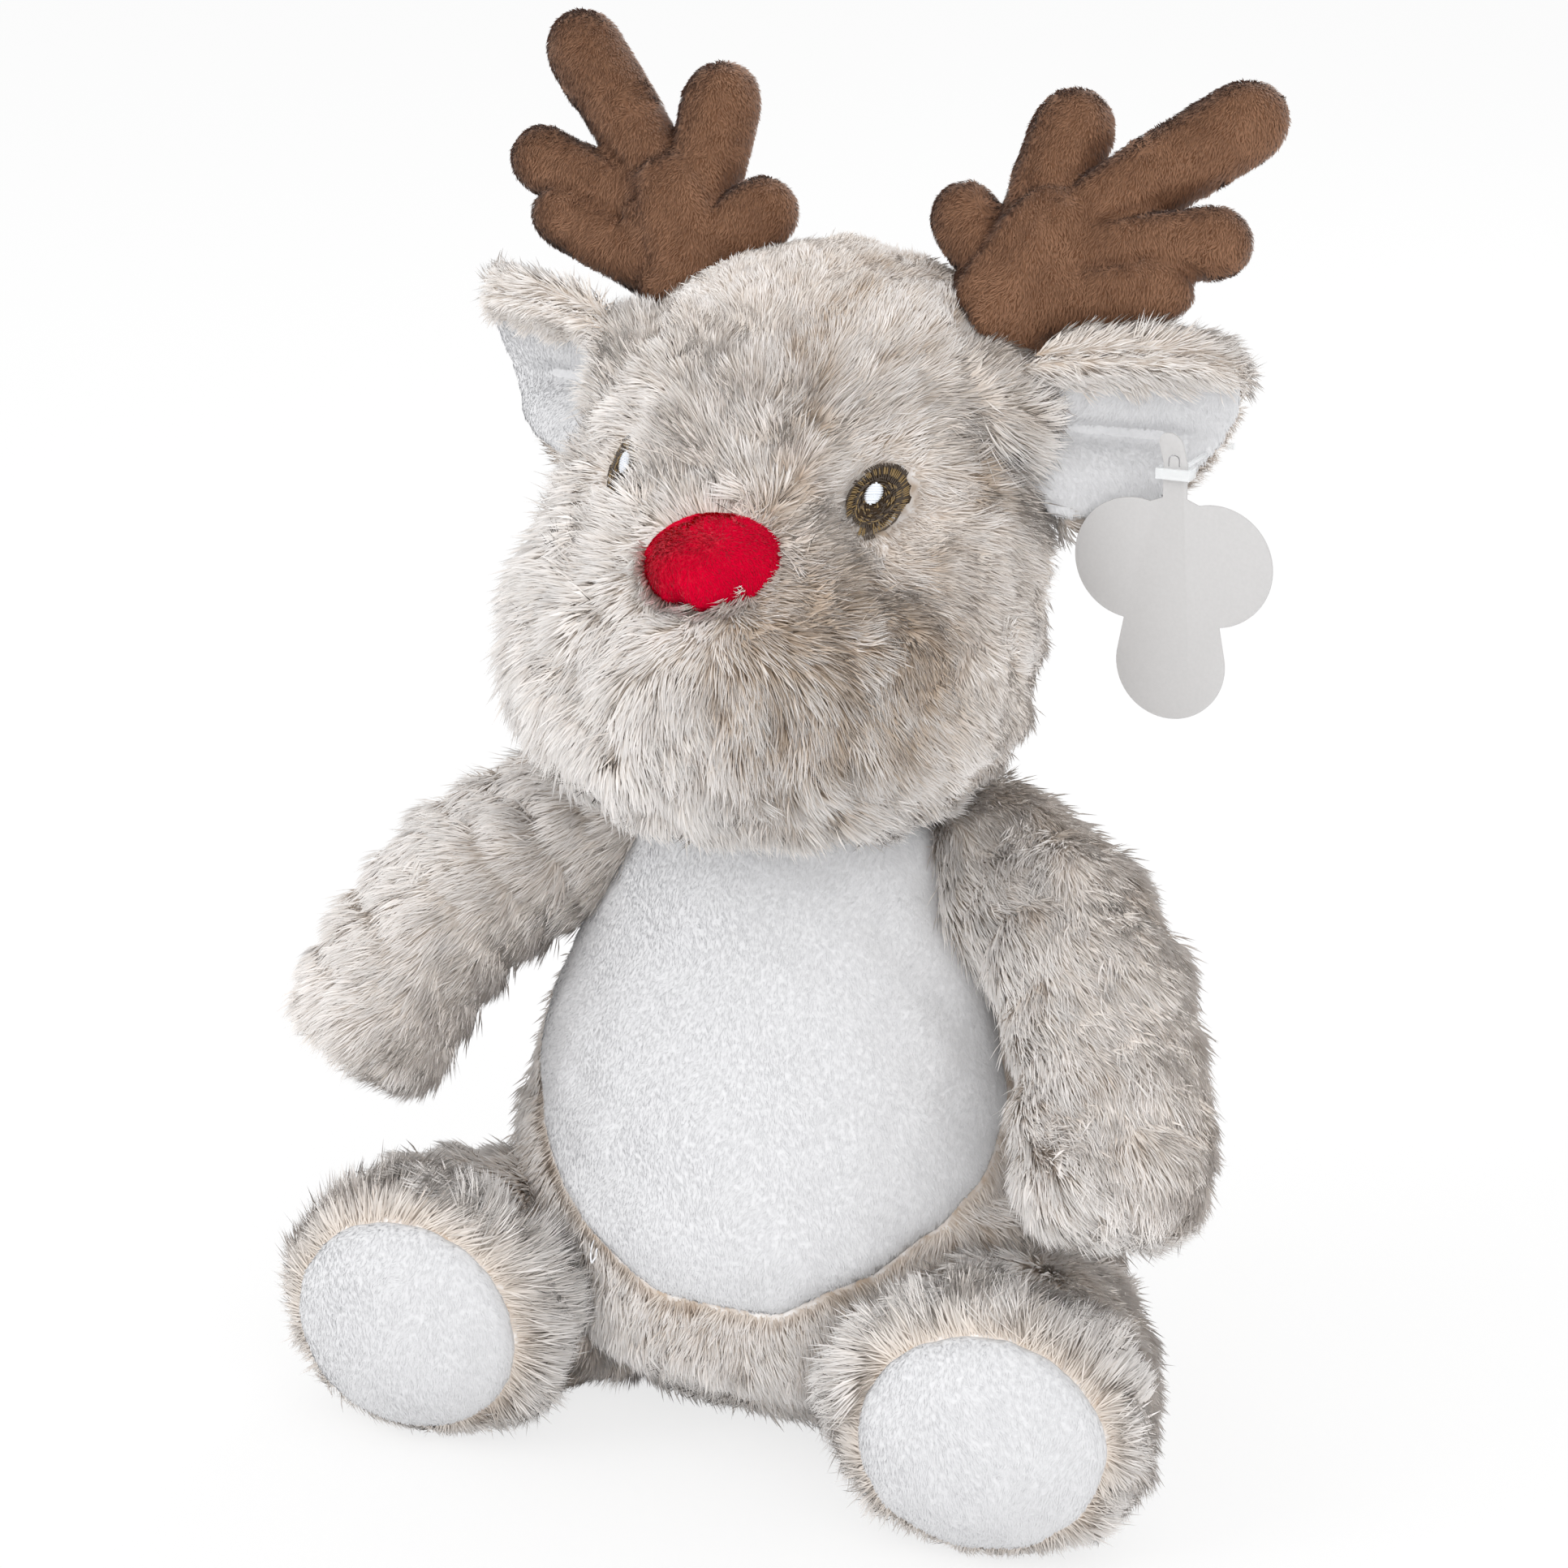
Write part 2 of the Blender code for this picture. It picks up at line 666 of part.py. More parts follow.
def leg_spine(side, word):
    start = hip(side)
    toe = Vector((side * math.sin(TOE_OUT[word]), -math.cos(TOE_OUT[word]), 0))
    sole = Vector((side * FOOT_SPREAD, -FOOT_FORWARD, 0))
    ankle = sole - toe * FOOT_LENGTH
    knee = (start + ankle) / 2 + Vector((side * KNEE_OUT, 0, 0))
    points = [start, knee, ankle, sole]
    for point, radius in zip(points, (LEG_RADIUS, LEG_RADIUS, FOOT_RADIUS, FOOT_RADIUS)):
        point.z = radius * FOOT_FLATTEN_SHARE - SEAT_CUT
    return points


def make_leg(side, word, fur, wadding, velour):
    shape = (leg_spine(side, word), (LEG_RADIUS, LEG_RADIUS, FOOT_RADIUS, FOOT_RADIUS), SOLE_ROUNDING)
    length = limb_length(shape[0])
    sole_height = (1 - (PAD_RADIUS / FOOT_RADIUS) ** 2) ** (1 / TIP_ROUNDNESS_SHARE)
    pad_share = 1 - SOLE_ROUNDING / length * (1 - sole_height)
    rim = pad_share - PIECE_GAP / length
    outer_stops = [rim - share for share in LEG_OUTER_RIM_SHARES] + list(LEG_OUTER_SHARES)
    inner_stops = [rim - share for share in LEG_INNER_RIM_SHARES] + list(LEG_INNER_SHARES)
    filling_stops = [*LEG_FILLING_TIP_SHARES, *inner_stops]
    pad_stops = (PAD_TIP_SHARE, (1 + rim) / 2, pad_share)
    outer = limb_rings(*shape, 0, LEG_SIDES, outer_stops, FOOT_FLATTEN_SHARE)
    inner = limb_rings(*shape, SKIN_WALL, LEG_SIDES, inner_stops, FOOT_FLATTEN_SHARE)
    filling = limb_rings(*shape, SKIN_WALL + STUFFING_GAP, LEG_SIDES, filling_stops, FOOT_FLATTEN_SHARE)
    pad_outer = limb_rings(*shape, 0, LEG_SIDES, pad_stops, FOOT_FLATTEN_SHARE)
    pad_inner = limb_rings(*shape, SKIN_WALL, LEG_SIDES, pad_stops, FOOT_FLATTEN_SHARE)
    skin = sleeve_of_rings("leg_skin_" + word, outer, inner, fur)
    stuffing = solid_of_rings("leg_stuffing_" + word, filling, wadding)
    pad = cup_of_rings("foot_pad_" + word, pad_outer, pad_inner, velour)
    pivot = hip(side)
    cut(skin, [torso_sweep(pivot, (1, 0, 0), LEG_RANGE), floor_cutter()])
    cut(stuffing, [torso_sweep(pivot, (1, 0, 0), LEG_RANGE)])
    for piece in (skin, stuffing, pad):
        set_pivot(piece, pivot)


def floor_cutter():
    mesh_data = bmesh.new()
    size = TORSO_WIDTH + FOOT_FORWARD
    bmesh.ops.create_cube(mesh_data, size=2 * size)
    bmesh.ops.translate(mesh_data, vec=(0, 0, -size), verts=mesh_data.verts)
    return finish(mesh_data, "floor_cutter", None)


def ear_root(side):
    """Where the ear's length is measured from, under the head's surface."""
    return Vector((side * EAR_ROOT_SPREAD, EAR_ROOT_BACK, EAR_UP))


def ear_pivot(side):
    """On the side of the head, where the ear is sewn on."""
    return Vector((side * head_level(EAR_UP)[0], EAR_ROOT_BACK, EAR_UP))


def ear_point(side, along, across, lift):
    """A point of the ear: along its length, across its cup from lower to upper edge, and off its sheet."""
    if along < EAR_WIDEST_SHARE:
        swell = math.sin(math.pi / 2 * max(along, 0) / EAR_WIDEST_SHARE)
        width = EAR_ROOT_WIDTH_SHARE + (1 - EAR_ROOT_WIDTH_SHARE) * swell
    else:
        run = (along - EAR_WIDEST_SHARE) / (1 - EAR_WIDEST_SHARE)
        width = math.sqrt(max(1 - run**2, 0))
    half = max(width, EAR_TIP_WIDTH_SHARE) * EAR_WIDTH / 2
    radius = EAR_WIDTH / EAR_CUP
    angle = across * half / radius + EAR_ROLL * along
    reach = radius + lift
    out = Vector((side * math.cos(EAR_SWEEP), math.sin(EAR_SWEEP), 0))
    back = Vector((-side * math.sin(EAR_SWEEP), math.cos(EAR_SWEEP), 0))
    up = Vector((0, 0, 1))
    return (
        ear_root(side)
        + out * EAR_LENGTH * (along - EAR_SET_IN_SHARE)
        + back * (reach * math.cos(angle) - radius * EAR_CUP_BACK_SHARE)
        + up * reach * math.sin(angle)
    )


def ear_grid(side, lift):
    """Points of the ear's sheet, row by row from the root, closer together towards the tip."""
    steps = range(EAR_CELLS + 1)
    rows = []
    for i in steps:
        share = 1 - (1 - i / EAR_CELLS) ** EAR_TIP_CROWDING_SHARE
        along = share * (1 + EAR_START_SHARE) - EAR_START_SHARE
        rows.append([ear_point(side, along, 2 * j / EAR_CELLS - 1, lift) for j in steps])
    return rows


def make_ear(side, word, fur, velour):
    pivot = ear_pivot(side)
    axis = (0, side, 0)
    half_gap = LINING_GAP / 2
    back = slab("ear_back_" + word, ear_grid(side, half_gap + EAR_BACK_WALL), ear_grid(side, half_gap), fur)
    front = ear_grid(side, -half_gap - EAR_LINING_WALL)
    lining = slab("ear_lining_" + word, ear_grid(side, -half_gap), front, velour)
    for piece in (back, lining):
        cut(piece, split_head_sweeps(pivot, axis, EAR_RANGE))
        trunk = capsule_rings(*trunk_ends(side), TRUNK_RADIUS + EAR_ROOM, ANTLER_SIDES)
        tine = capsule_rings(*low_tine_ends(side), TINE_RADIUS, ANTLER_SIDES)
        cut(piece, [swept_cutter(trunk + tine, antler_pivot(side), (1, 0, 0), ANTLER_RANGE)])
    return back, lining


def antler_point(side, outward, upward):
    """A point in the antler's plane, which leans back and is set upright by its own angle."""
    turn = ANTLER_SET["left" if side > 0 else "right"]
    out = outward * ANTLER_REACH
    up = upward * ANTLER_HEIGHT
    base = Vector((side * ANTLER_SPREAD, ANTLER_BACK, ANTLER_UP))
    rise = Vector((0, math.sin(ANTLER_LEAN), math.cos(ANTLER_LEAN)))
    across = out * math.cos(turn) - up * math.sin(turn)
    return base + Vector((side * across, 0, 0)) + rise * (up * math.cos(turn) + out * math.sin(turn))


def antler_pivot(side):
    return antler_point(side, 0, 0)


def capsule_rings(start, end, radius, sides):
    """Rings of a round-ended sausage between two centres."""
    ahead = (end - start).normalized()
    side_way = ahead.cross(Vector((0, -1, 0))).normalized()
    up_way = side_way.cross(ahead)
    rings = []
    for centre, angles in ((start, CAPSULE_START_ANGLES), (end, CAPSULE_END_ANGLES)):
        for angle in angles:
            size = radius * math.cos(angle)
            place = centre + ahead * radius * math.sin(angle)
            rings.append(round_ring(place, side_way * size, up_way * ANTLER_FLATTEN_SHARE * size, sides))
    return rings


def trunk_ends(side):
    """The centres of the trunk's ends: one in the head, one at the antler's fork."""
    root = antler_pivot(side)
    centre = Vector((0, head_level(ANTLER_UP)[2], CHIN_HEIGHT + HEAD_HEIGHT / 2))
    return root + (centre - root).normalized() * ANTLER_ROOT, antler_point(side, *ANTLER_FORK_SHARES)


def low_tine_ends(side):
    """The centres of the ends of the tine over the ear."""
    foot, tip, _ = ANTLER_TINE_SHARES[LOW_TINE]
    return antler_point(side, *foot), antler_point(side, *tip)


def antler_body(name, side, inset, sides, mat=None):
    """Tines joined to a root that reaches into the head."""
    body = solid_of_rings(name, capsule_rings(*trunk_ends(side), TRUNK_RADIUS - inset, sides))
    for foot, tip, girth in ANTLER_TINE_SHARES:
        ends = (antler_point(side, *foot), antler_point(side, *tip))
        tine = solid_of_rings(name + "_tine", capsule_rings(*ends, girth * TINE_RADIUS - inset, sides))
        boolean(body, tine, "UNION")
    if mat:
        body.data.materials.clear()
        body.data.materials.append(mat)
    return body


def make_antler(side, word, velour, wadding):
    pivot = antler_pivot(side)
    skin = antler_body("antler_skin_" + word, side, 0, ANTLER_SIDES, velour)
    cut(skin, [antler_body("antler_hollow", side, VELOUR_WALL, ANTLER_LINING_SIDES)])
    inset = VELOUR_WALL + STUFFING_GAP
    stuffing = antler_body("antler_stuffing_" + word, side, inset, ANTLER_LINING_SIDES, wadding)
    for piece in (skin, stuffing):
        cut(piece, [head_sweep(pivot, (1, 0, 0), ANTLER_RANGE)])
        set_pivot(piece, pivot)


def band_centre():
    """The middle of the clear band that holds the tag, in front of the left ear."""
    lining = ear_point(1, BAND_PLACE_SHARE, BAND_DROP_SHARE, -EAR_LINING_WALL)
    return lining + Vector((0, -BAND_STAND_OFF, -BAND_BELOW))


def tag_outline():
    """A plain card with three rounded lobes, a neck and a tongue, as points in its own plane."""
    lobe = TAG_WIDTH * TAG_LOBE_SHARE
    lower_lobe = lobe * TAG_LOWER_LOBE_SHARE
    half_neck = TAG_NECK_WIDTH / 2
    low = -TAG_NECK_HEIGHT
    spread = TAG_WIDTH / 2 - lobe
    drop = low - lobe * TAG_LOBE_DROP_SHARE
    lobes = (
        (-spread, drop, lobe, TAG_LEFT_ARC),
        (0, low - TAG_HEIGHT + lower_lobe, lower_lobe, TAG_LOWER_ARC),
        (spread, drop, lobe, TAG_RIGHT_ARC),
    )
    neck_root = low + lobe * TAG_NECK_ROOT_SHARE
    points = [(-half_neck, TAG_TONGUE - half_neck), (-half_neck, neck_root)]
    for x, y, radius, (start, stop) in lobes:
        for k in range(TAG_LOBE_STEPS + 1):
            angle = start + (stop - start) * k / TAG_LOBE_STEPS
            points.append((x + radius * math.cos(angle), y + radius * math.sin(angle)))
    points += [(half_neck, neck_root), (half_neck, TAG_TONGUE - half_neck)]
    for k in range(1, TAG_TONGUE_STEPS):
        angle = math.pi * k / TAG_TONGUE_STEPS
        points.append((half_neck * math.cos(angle), TAG_TONGUE - half_neck + half_neck * math.sin(angle)))
    return points


def make_tag(card):
    centre = band_centre()
    mesh_data = bmesh.new()
    front = [mesh_data.verts.new((x, -TAG_CARD / 2, z)) for x, z in tag_outline()]
    face = mesh_data.faces.new(front)
    made = bmesh.ops.extrude_face_region(mesh_data, geom=[face])
    moved = [item for item in made["geom"] if isinstance(item, bmesh.types.BMVert)]
    bmesh.ops.translate(mesh_data, vec=(0, TAG_CARD, 0), verts=moved)
    bmesh.ops.translate(mesh_data, vec=centre, verts=mesh_data.verts)
    tag = finish(mesh_data, "swing_tag", card)
    return set_pivot(tag, centre)


def box(name, centre, size, mat=None):
    mesh_data = bmesh.new()
    bmesh.ops.create_cube(mesh_data, size=1)
    bmesh.ops.scale(mesh_data, vec=size, verts=mesh_data.verts)
    bmesh.ops.translate(mesh_data, vec=centre, verts=mesh_data.verts)
    return finish(mesh_data, name, mat)


def rod(name, start, end, radius):
    """A pin along the ear's depth or across it."""
    ahead = (end - start).normalized()
    side_way = ahead.cross(Vector((0, 0, 1))).normalized()
    up_way = side_way.cross(ahead)
    rings = [round_ring(centre, side_way * radius, up_way * radius, PIN_SIDES) for centre in (start, end)]
    return solid_of_rings(name, rings)


def make_fastener(clear, ear_pieces):
    """A clear band round the tag's neck, with a pin through the ear and a bar behind it."""
    centre = band_centre()
    hole_width = TAG_NECK_WIDTH + 2 * PIECE_GAP
    hole_size = (hole_width, BAND_DEPTH - 2 * BAND_WALL, BAND_HEIGHT + CUT_OVERRUN)
    band = box("tag_fastener", centre, (hole_width + 2 * BAND_WALL, BAND_DEPTH, BAND_HEIGHT), clear)
    cut(band, [box("band_hole", centre, hole_size)])
    start = centre + Vector((0, (BAND_DEPTH - BAND_WALL) / 2, 0))
    behind = ear_point(1, BAND_PLACE_SHARE, BAND_DROP_SHARE, EAR_BACK_WALL)
    end = Vector((start.x, behind.y + PIN_REACH, start.z))
    boolean(band, rod("pin", start, end, PIN_RADIUS), "UNION")
    half_bar = Vector((BAR_LENGTH / 2, 0, 0))
    bar_centre = end - Vector((0, PIN_RADIUS, 0))
    boolean(band, rod("bar", bar_centre - half_bar, bar_centre + half_bar, BAR_RADIUS), "UNION")
    for piece in ear_pieces:
        cut(piece, [rod("pin_hole", start, end + Vector((0, CUT_OVERRUN, 0)), PIN_RADIUS + PIECE_GAP)])
    return band


def main():
    for obj in list(bpy.data.objects):
        bpy.data.objects.remove(obj)
    fur = material("frosted_fur", (0.62, 0.54, 0.46), 0.95)
    white = material("white_velour", (0.90, 0.90, 0.89), 0.9)
    brown = material("brown_velour", (0.16, 0.075, 0.033), 0.85)
    red = material("red_velour", (0.60, 0.0, 0.02), 0.8)
    thread = material("brown_thread", (0.07, 0.035, 0.015), 0.5)
    wadding = material("stuffing", (0.85, 0.85, 0.83), 1.0)
    pouch_cloth = material("pouch_cloth", (0.75, 0.72, 0.65), 0.9)
    card = material("tag_card", (0.66, 0.65, 0.65), 0.6)
    clear = material("clear_plastic", (0.85, 0.87, 0.88), 0.2)
    make_torso(fur, white, wadding, pouch_cloth)
    make_head(fur, wadding, red, thread)
    for side, word in ((1, "left"), (-1, "right")):
        make_arm(side, word, fur, wadding)
        make_leg(side, word, fur, wadding, white)
        make_antler(side, word, brown, wadding)
        ear_pieces = make_ear(side, word, fur, white)
        if side == 1:
            set_pivot(make_fastener(clear, ear_pieces), band_centre())
        for piece in ear_pieces:
            set_pivot(piece, ear_pivot(side))
    make_tag(card)


main()
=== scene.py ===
"""Dresses the seated plush deer: long frosted fur, velour antlers, stitched eyes and a card tag."""

import json
import math

import bmesh
import bpy
import numpy as np
from bpy.props import FloatProperty, FloatVectorProperty, IntProperty, PointerProperty
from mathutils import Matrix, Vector
from mathutils.bvhtree import BVHTree
from mathutils.kdtree import KDTree


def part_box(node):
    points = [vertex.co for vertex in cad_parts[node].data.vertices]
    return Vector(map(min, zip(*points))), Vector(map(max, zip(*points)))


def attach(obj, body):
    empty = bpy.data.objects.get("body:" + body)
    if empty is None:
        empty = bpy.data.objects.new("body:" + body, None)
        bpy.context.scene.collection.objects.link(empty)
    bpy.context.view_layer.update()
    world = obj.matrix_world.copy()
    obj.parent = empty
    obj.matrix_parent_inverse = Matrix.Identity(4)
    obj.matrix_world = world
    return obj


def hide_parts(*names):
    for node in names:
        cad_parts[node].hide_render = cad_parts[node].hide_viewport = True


bl_info = {
    "name": "Plush Deer",
    "version": (1, 0, 0),
    "blender": (4, 5, 0),
    "location": "View3D > Sidebar > Plush Deer",
    "description": "Fur, velour, embroidery and tag of a seated plush deer",
    "category": "Object",
}

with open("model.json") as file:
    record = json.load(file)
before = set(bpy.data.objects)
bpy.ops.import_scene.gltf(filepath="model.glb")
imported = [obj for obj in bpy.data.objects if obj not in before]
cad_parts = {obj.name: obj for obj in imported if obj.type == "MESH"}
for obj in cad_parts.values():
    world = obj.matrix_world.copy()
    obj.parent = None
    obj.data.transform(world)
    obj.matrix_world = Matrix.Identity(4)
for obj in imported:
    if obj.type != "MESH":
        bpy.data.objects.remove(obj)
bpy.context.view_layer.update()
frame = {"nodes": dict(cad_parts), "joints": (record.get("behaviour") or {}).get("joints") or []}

SIDES = (("left", 1), ("right", -1))
BAKE_MAP = "OFBake"
TONES = 32
LEAST_HEIGHT = 0.0002
DOWN = np.array((0.0, 0.0, -1.0))


# Settings


def colour_property(name, description, default):
    return FloatVectorProperty(name=name, description=description, default=default, size=3, subtype="COLOR")


def length_property(name, description, default):
    return FloatProperty(name=name, description=description, default=default, unit="LENGTH")


class FurSettings(bpy.types.PropertyGroup):
    length: length_property("Pile length", "Length of a strand on the body", 0.0105)
    width: length_property("Strand width", "Width of a strand at its root", 0.00030)
    density: FloatProperty(name="Density", description="Strands on a square millimetre", default=3.2)
    tufts: FloatProperty(name="Tufts", description="Tufts on a square millimetre", default=0.05)
    voxel: length_property("Backing mesh size", "Cell size of the backing's mesh", 0.0022)
    lumps: length_property("Lumps", "How far clumps of fur stand up and sink", 0.0009)
    dark_root: colour_property("Dark root", "Taupe at the roots in a parting", (0.34, 0.235, 0.155))
    dark_tip: colour_property("Dark tip", "Taupe at the tips in a parting", (0.59, 0.475, 0.375))
    light_root: colour_property("Light root", "Taupe at the roots of frosted fur", (0.785, 0.70, 0.62))
    light_tip: colour_property("Light tip", "Cream of the frosted tips", (0.95, 0.92, 0.90))


class VelourSettings(bpy.types.PropertyGroup):
    length: length_property("Pile length", "Length of the short white pile", 0.0013)
    width: length_property("Strand width", "Width of a strand of white pile", 0.00034)
    density: FloatProperty(name="Density", description="Strands on a square millimetre", default=3.0)
    colour: colour_property("Colour", "White of the belly, soles and ear linings", (0.74, 0.742, 0.755))
    panel_lift: length_property("Panel lift", "How far a panel stands off the filling", 0.0020)
    wall: length_property("Wall", "Thickness of the panel and its backing", 0.0018)
    belly_reach: length_property("Belly reach", "How far the belly's cloth shows past the panel's seam", 0.005)
    sole_reach: length_property("Sole reach", "How far the sole's cloth shows past its seam", 0.003)


class AntlerSettings(bpy.types.PropertyGroup):
    length: length_property("Pile length", "Length of the brown pile", 0.0016)
    width: length_property("Strand width", "Width of a strand of brown pile", 0.00034)
    density: FloatProperty(name="Density", description="Strands on a square millimetre", default=4.5)
    voxel: length_property("Mesh size", "Cell size of the antler's mesh", 0.0014)
    swell: length_property("Swell", "How far the velour stands off the filling", 0.0018)
    dark: colour_property("Dark nap", "Brown where the nap turns away", (0.14, 0.062, 0.030))
    light: colour_property("Light nap", "Brown where the nap catches light", (0.35, 0.175, 0.095))


class FaceSettings(bpy.types.PropertyGroup):
    nose_length: length_property("Nose pile length", "Length of the red pile", 0.0011)
    red: colour_property("Red", "Red of the nose", (0.80, 0.0, 0.034))
    thread_radius: length_property("Thread radius", "Radius of a stitch", 0.00016)
    dark_thread: colour_property("Dark thread", "Brown of the eye", (0.045, 0.026, 0.012))
    gold_thread: colour_property("Gold thread", "Gold-brown of the eye's ring", (0.23, 0.145, 0.045))


class TagSettings(bpy.types.PropertyGroup):
    card: colour_property("Card", "Colour of the blank card", (0.545, 0.537, 0.535))
    neck: length_property("Neck width", "Width of the tag's neck and tongue", 0.0056)
    rim: length_property("Rim", "Radius of the card's pressed rim", 0.00022)
    slot: length_property("Slot width", "Width of the line cut through the tongue", 0.00028)


class StageSettings(bpy.types.PropertyGroup):
    azimuth: FloatProperty(name="Azimuth", description="Camera's turn round the toy", default=math.radians(25), subtype="ANGLE")
    elevation: FloatProperty(name="Elevation", description="Camera's rise", default=math.radians(18), subtype="ANGLE")
    distance: length_property("Distance", "From the camera to its target", 1.0)
    target: FloatVectorProperty(name="Target", description="What the camera looks at", default=(0, -0.02, 0.162), size=3, unit="LENGTH")
    lens: FloatProperty(name="Lens", description="Focal length in millimetres", default=98.76)


SETTINGS = {
    "deer_fur": FurSettings,
    "deer_velour": VelourSettings,
    "deer_antler": AntlerSettings,
    "deer_face": FaceSettings,
    "deer_tag": TagSettings,
    "deer_stage": StageSettings,
}


# Arrays


def unit(vectors):
    return vectors / np.maximum(np.linalg.norm(vectors, axis=-1, keepdims=True), 1e-12)


def waves(points, wavelength, seed, count=7):
    """Smooth noise of about -1 to 1 at each point."""
    rng = np.random.default_rng(seed)
    ways = unit(rng.normal(size=(count, 3))) * (2 * math.pi / wavelength) * rng.uniform(0.7, 1.4, (count, 1))
    return np.sin(points @ ways.T + rng.uniform(0, 2 * math.pi, count)).sum(axis=1) / math.sqrt(count)


def wave_vectors(points, wavelength, seed):
    return np.stack([waves(points, wavelength, seed + k) for k in range(3)], axis=1)


def mesh_arrays(mesh):
    places = np.empty(len(mesh.vertices) * 3, np.float32)
    mesh.vertices.foreach_get("co", places)
    normals = np.empty(len(mesh.vertices) * 3, np.float32)
    mesh.vertex_normals.foreach_get("vector", normals)
    return places.reshape(-1, 3).astype(float), normals.reshape(-1, 3).astype(float)


def set_places(mesh, places):
    mesh.vertices.foreach_set("co", places.astype(np.float32).ravel())
    mesh.update()


def tree_of(*names):
    """A search tree over frame nodes, merged."""
    joined = bmesh.new()
    for name in names:
        joined.from_mesh(frame["nodes"][name].data)
    bmesh.ops.remove_doubles(joined, verts=joined.verts, dist=1e-6)
    tree = BVHTree.FromBMesh(joined)
    joined.free()
    return tree


def distances(points, tree):
    return np.array([tree.find_nearest(p)[3] for p in points.tolist()])


def signed_distances(points, tree):
    """Distances from a closed solid, negative inside it; a sharp edge nearby leaves a point outside."""
    result = np.zeros(len(points))
    for k, p in enumerate(points.tolist()):
        place, normal, _, gap = tree.find_nearest(p)
        result[k] = -gap if (Vector(p) - place).dot(normal) < -0.95 * gap else gap
    return result


def joint_place(name):
    joint = next(j for j in frame["joints"] if j["name"] == name)
    return np.array(joint["pos_m"])


def middle_of(node):
    low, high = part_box(node)
    return np.array((low + high) / 2)


# Forms


def active(piece):
    bpy.ops.object.select_all(action="DESELECT")
    bpy.context.view_layer.objects.active = piece
    piece.select_set(True)
    return piece


def apply_all(piece):
    active(piece)
    for modifier in list(piece.modifiers):
        bpy.ops.object.modifier_apply(modifier=modifier.name)
    return piece


def add_object(name, mesh):
    piece = bpy.data.objects.new(name, mesh)
    bpy.context.scene.collection.objects.link(piece)
    return piece


def merged_copy(name, nodes):
    """One closed mesh with the shape of some frame nodes."""
    joined = bmesh.new()
    for node in nodes:
        joined.from_mesh(frame["nodes"][node].data)
    bmesh.ops.remove_doubles(joined, verts=joined.verts, dist=1e-6)
    mesh = bpy.data.meshes.new(name)
    joined.to_mesh(mesh)
    joined.free()
    return add_object(name, mesh)


def stuffed_form(name, nodes, voxel, swell=0.002, passes=8, lumps=0.0):
    """A soft, even form over the filling of a sewn skin."""
    piece = merged_copy(name, nodes)
    remesh = piece.modifiers.new("Remesh", "REMESH")
    remesh.mode = "VOXEL"
    remesh.voxel_size = voxel
    smooth = piece.modifiers.new("Smooth", "SMOOTH")
    smooth.factor = 0.5
    smooth.iterations = passes
    apply_all(piece)
    places, normals = mesh_arrays(piece.data)
    rise = swell + lumps * (waves(places, 0.017, 7) + 0.6 * waves(places, 0.009, 8))
    set_places(piece.data, places + normals * rise[:, None])
    piece.data.materials.clear()
    piece.data.shade_smooth()
    return piece


def edge_depth(points, own, other):
    """How far each point lies inside a panel's edge, seen along the skin; negative outside it."""
    near = distances(points, own)
    far = distances(points, other)
    return np.sign(far - near) * np.sqrt(np.abs(far**2 - near**2))


def split_at_zero(shape, values):
    """Splits faces along the line where the values pass zero."""
    marks = dict(zip(list(shape.verts), values))
    on_line = set()
    for edge in list(shape.edges):
        a, b = edge.verts
        if (marks[a] > 0) != (marks[b] > 0):
            _, new = bmesh.utils.edge_split(edge, a, marks[a] / (marks[a] - marks[b]))
            marks[new] = 0.0
            on_line.add(new)
    for face in list(shape.faces):
        ends = [v for v in face.verts if v in on_line]
        if len(ends) == 2 and not any(set(e.verts) == set(ends) for e in face.edges):
            bmesh.utils.face_split(face, *ends)
    return marks, on_line


def panel_of(name, form, depth, lift, wall):
    """The part of a form inside an edge, lifted off it, with a rounded edge and a thickness."""
    shape = bmesh.new()
    shape.from_mesh(form.data)
    marks, on_line = split_at_zero(shape, depth)
    lost = [f for f in shape.faces if sum(marks[v] for v in f.verts) <= 0]
    bmesh.ops.delete(shape, geom=lost, context="FACES")
    shape.normal_update()
    for vert in shape.verts:
        rise = min(max(marks[vert], 0) / (2 * lift), 1)
        vert.co += vert.normal * lift * math.sin(rise * math.pi / 2)
    mesh = bpy.data.meshes.new(name)
    shape.to_mesh(mesh)
    shape.free()
    piece = add_object(name, mesh)
    smooth = piece.modifiers.new("Smooth", "SMOOTH")
    smooth.factor = 0.5
    smooth.iterations = 3
    solid = piece.modifiers.new("Wall", "SOLIDIFY")
    solid.thickness = wall
    solid.offset = -1
    apply_all(piece)
    piece.data.shade_smooth()
    return piece


# Pile


class Ground:
    """A form's surface, on which pile grows; fields are given at its vertices."""

    def __init__(self, piece):
        mesh = piece.data
        mesh.calc_loop_triangles()
        corners = np.empty(len(mesh.loop_triangles) * 3, np.int32)
        mesh.loop_triangles.foreach_get("vertices", corners)
        self.corners = corners.reshape(-1, 3)
        self.places, self.normals = mesh_arrays(mesh)
        a, b, c = (self.places[self.corners[:, k]] for k in range(3))
        self.reach = (np.linalg.norm(np.cross(b - a, c - a), axis=1) / 2).cumsum()

    def scatter(self, density, rng):
        """Even random points, as triangles' corners and shares of them."""
        count = max(int(self.reach[-1] * density), 1)
        marks = (np.arange(count) + rng.random(count)) / count * self.reach[-1]
        picked = np.minimum(np.searchsorted(self.reach, marks), len(self.corners) - 1)
        u = np.sqrt(rng.random(count))
        v = rng.random(count)
        return self.corners[picked], np.stack([1 - u, u * (1 - v), u * v], axis=1)


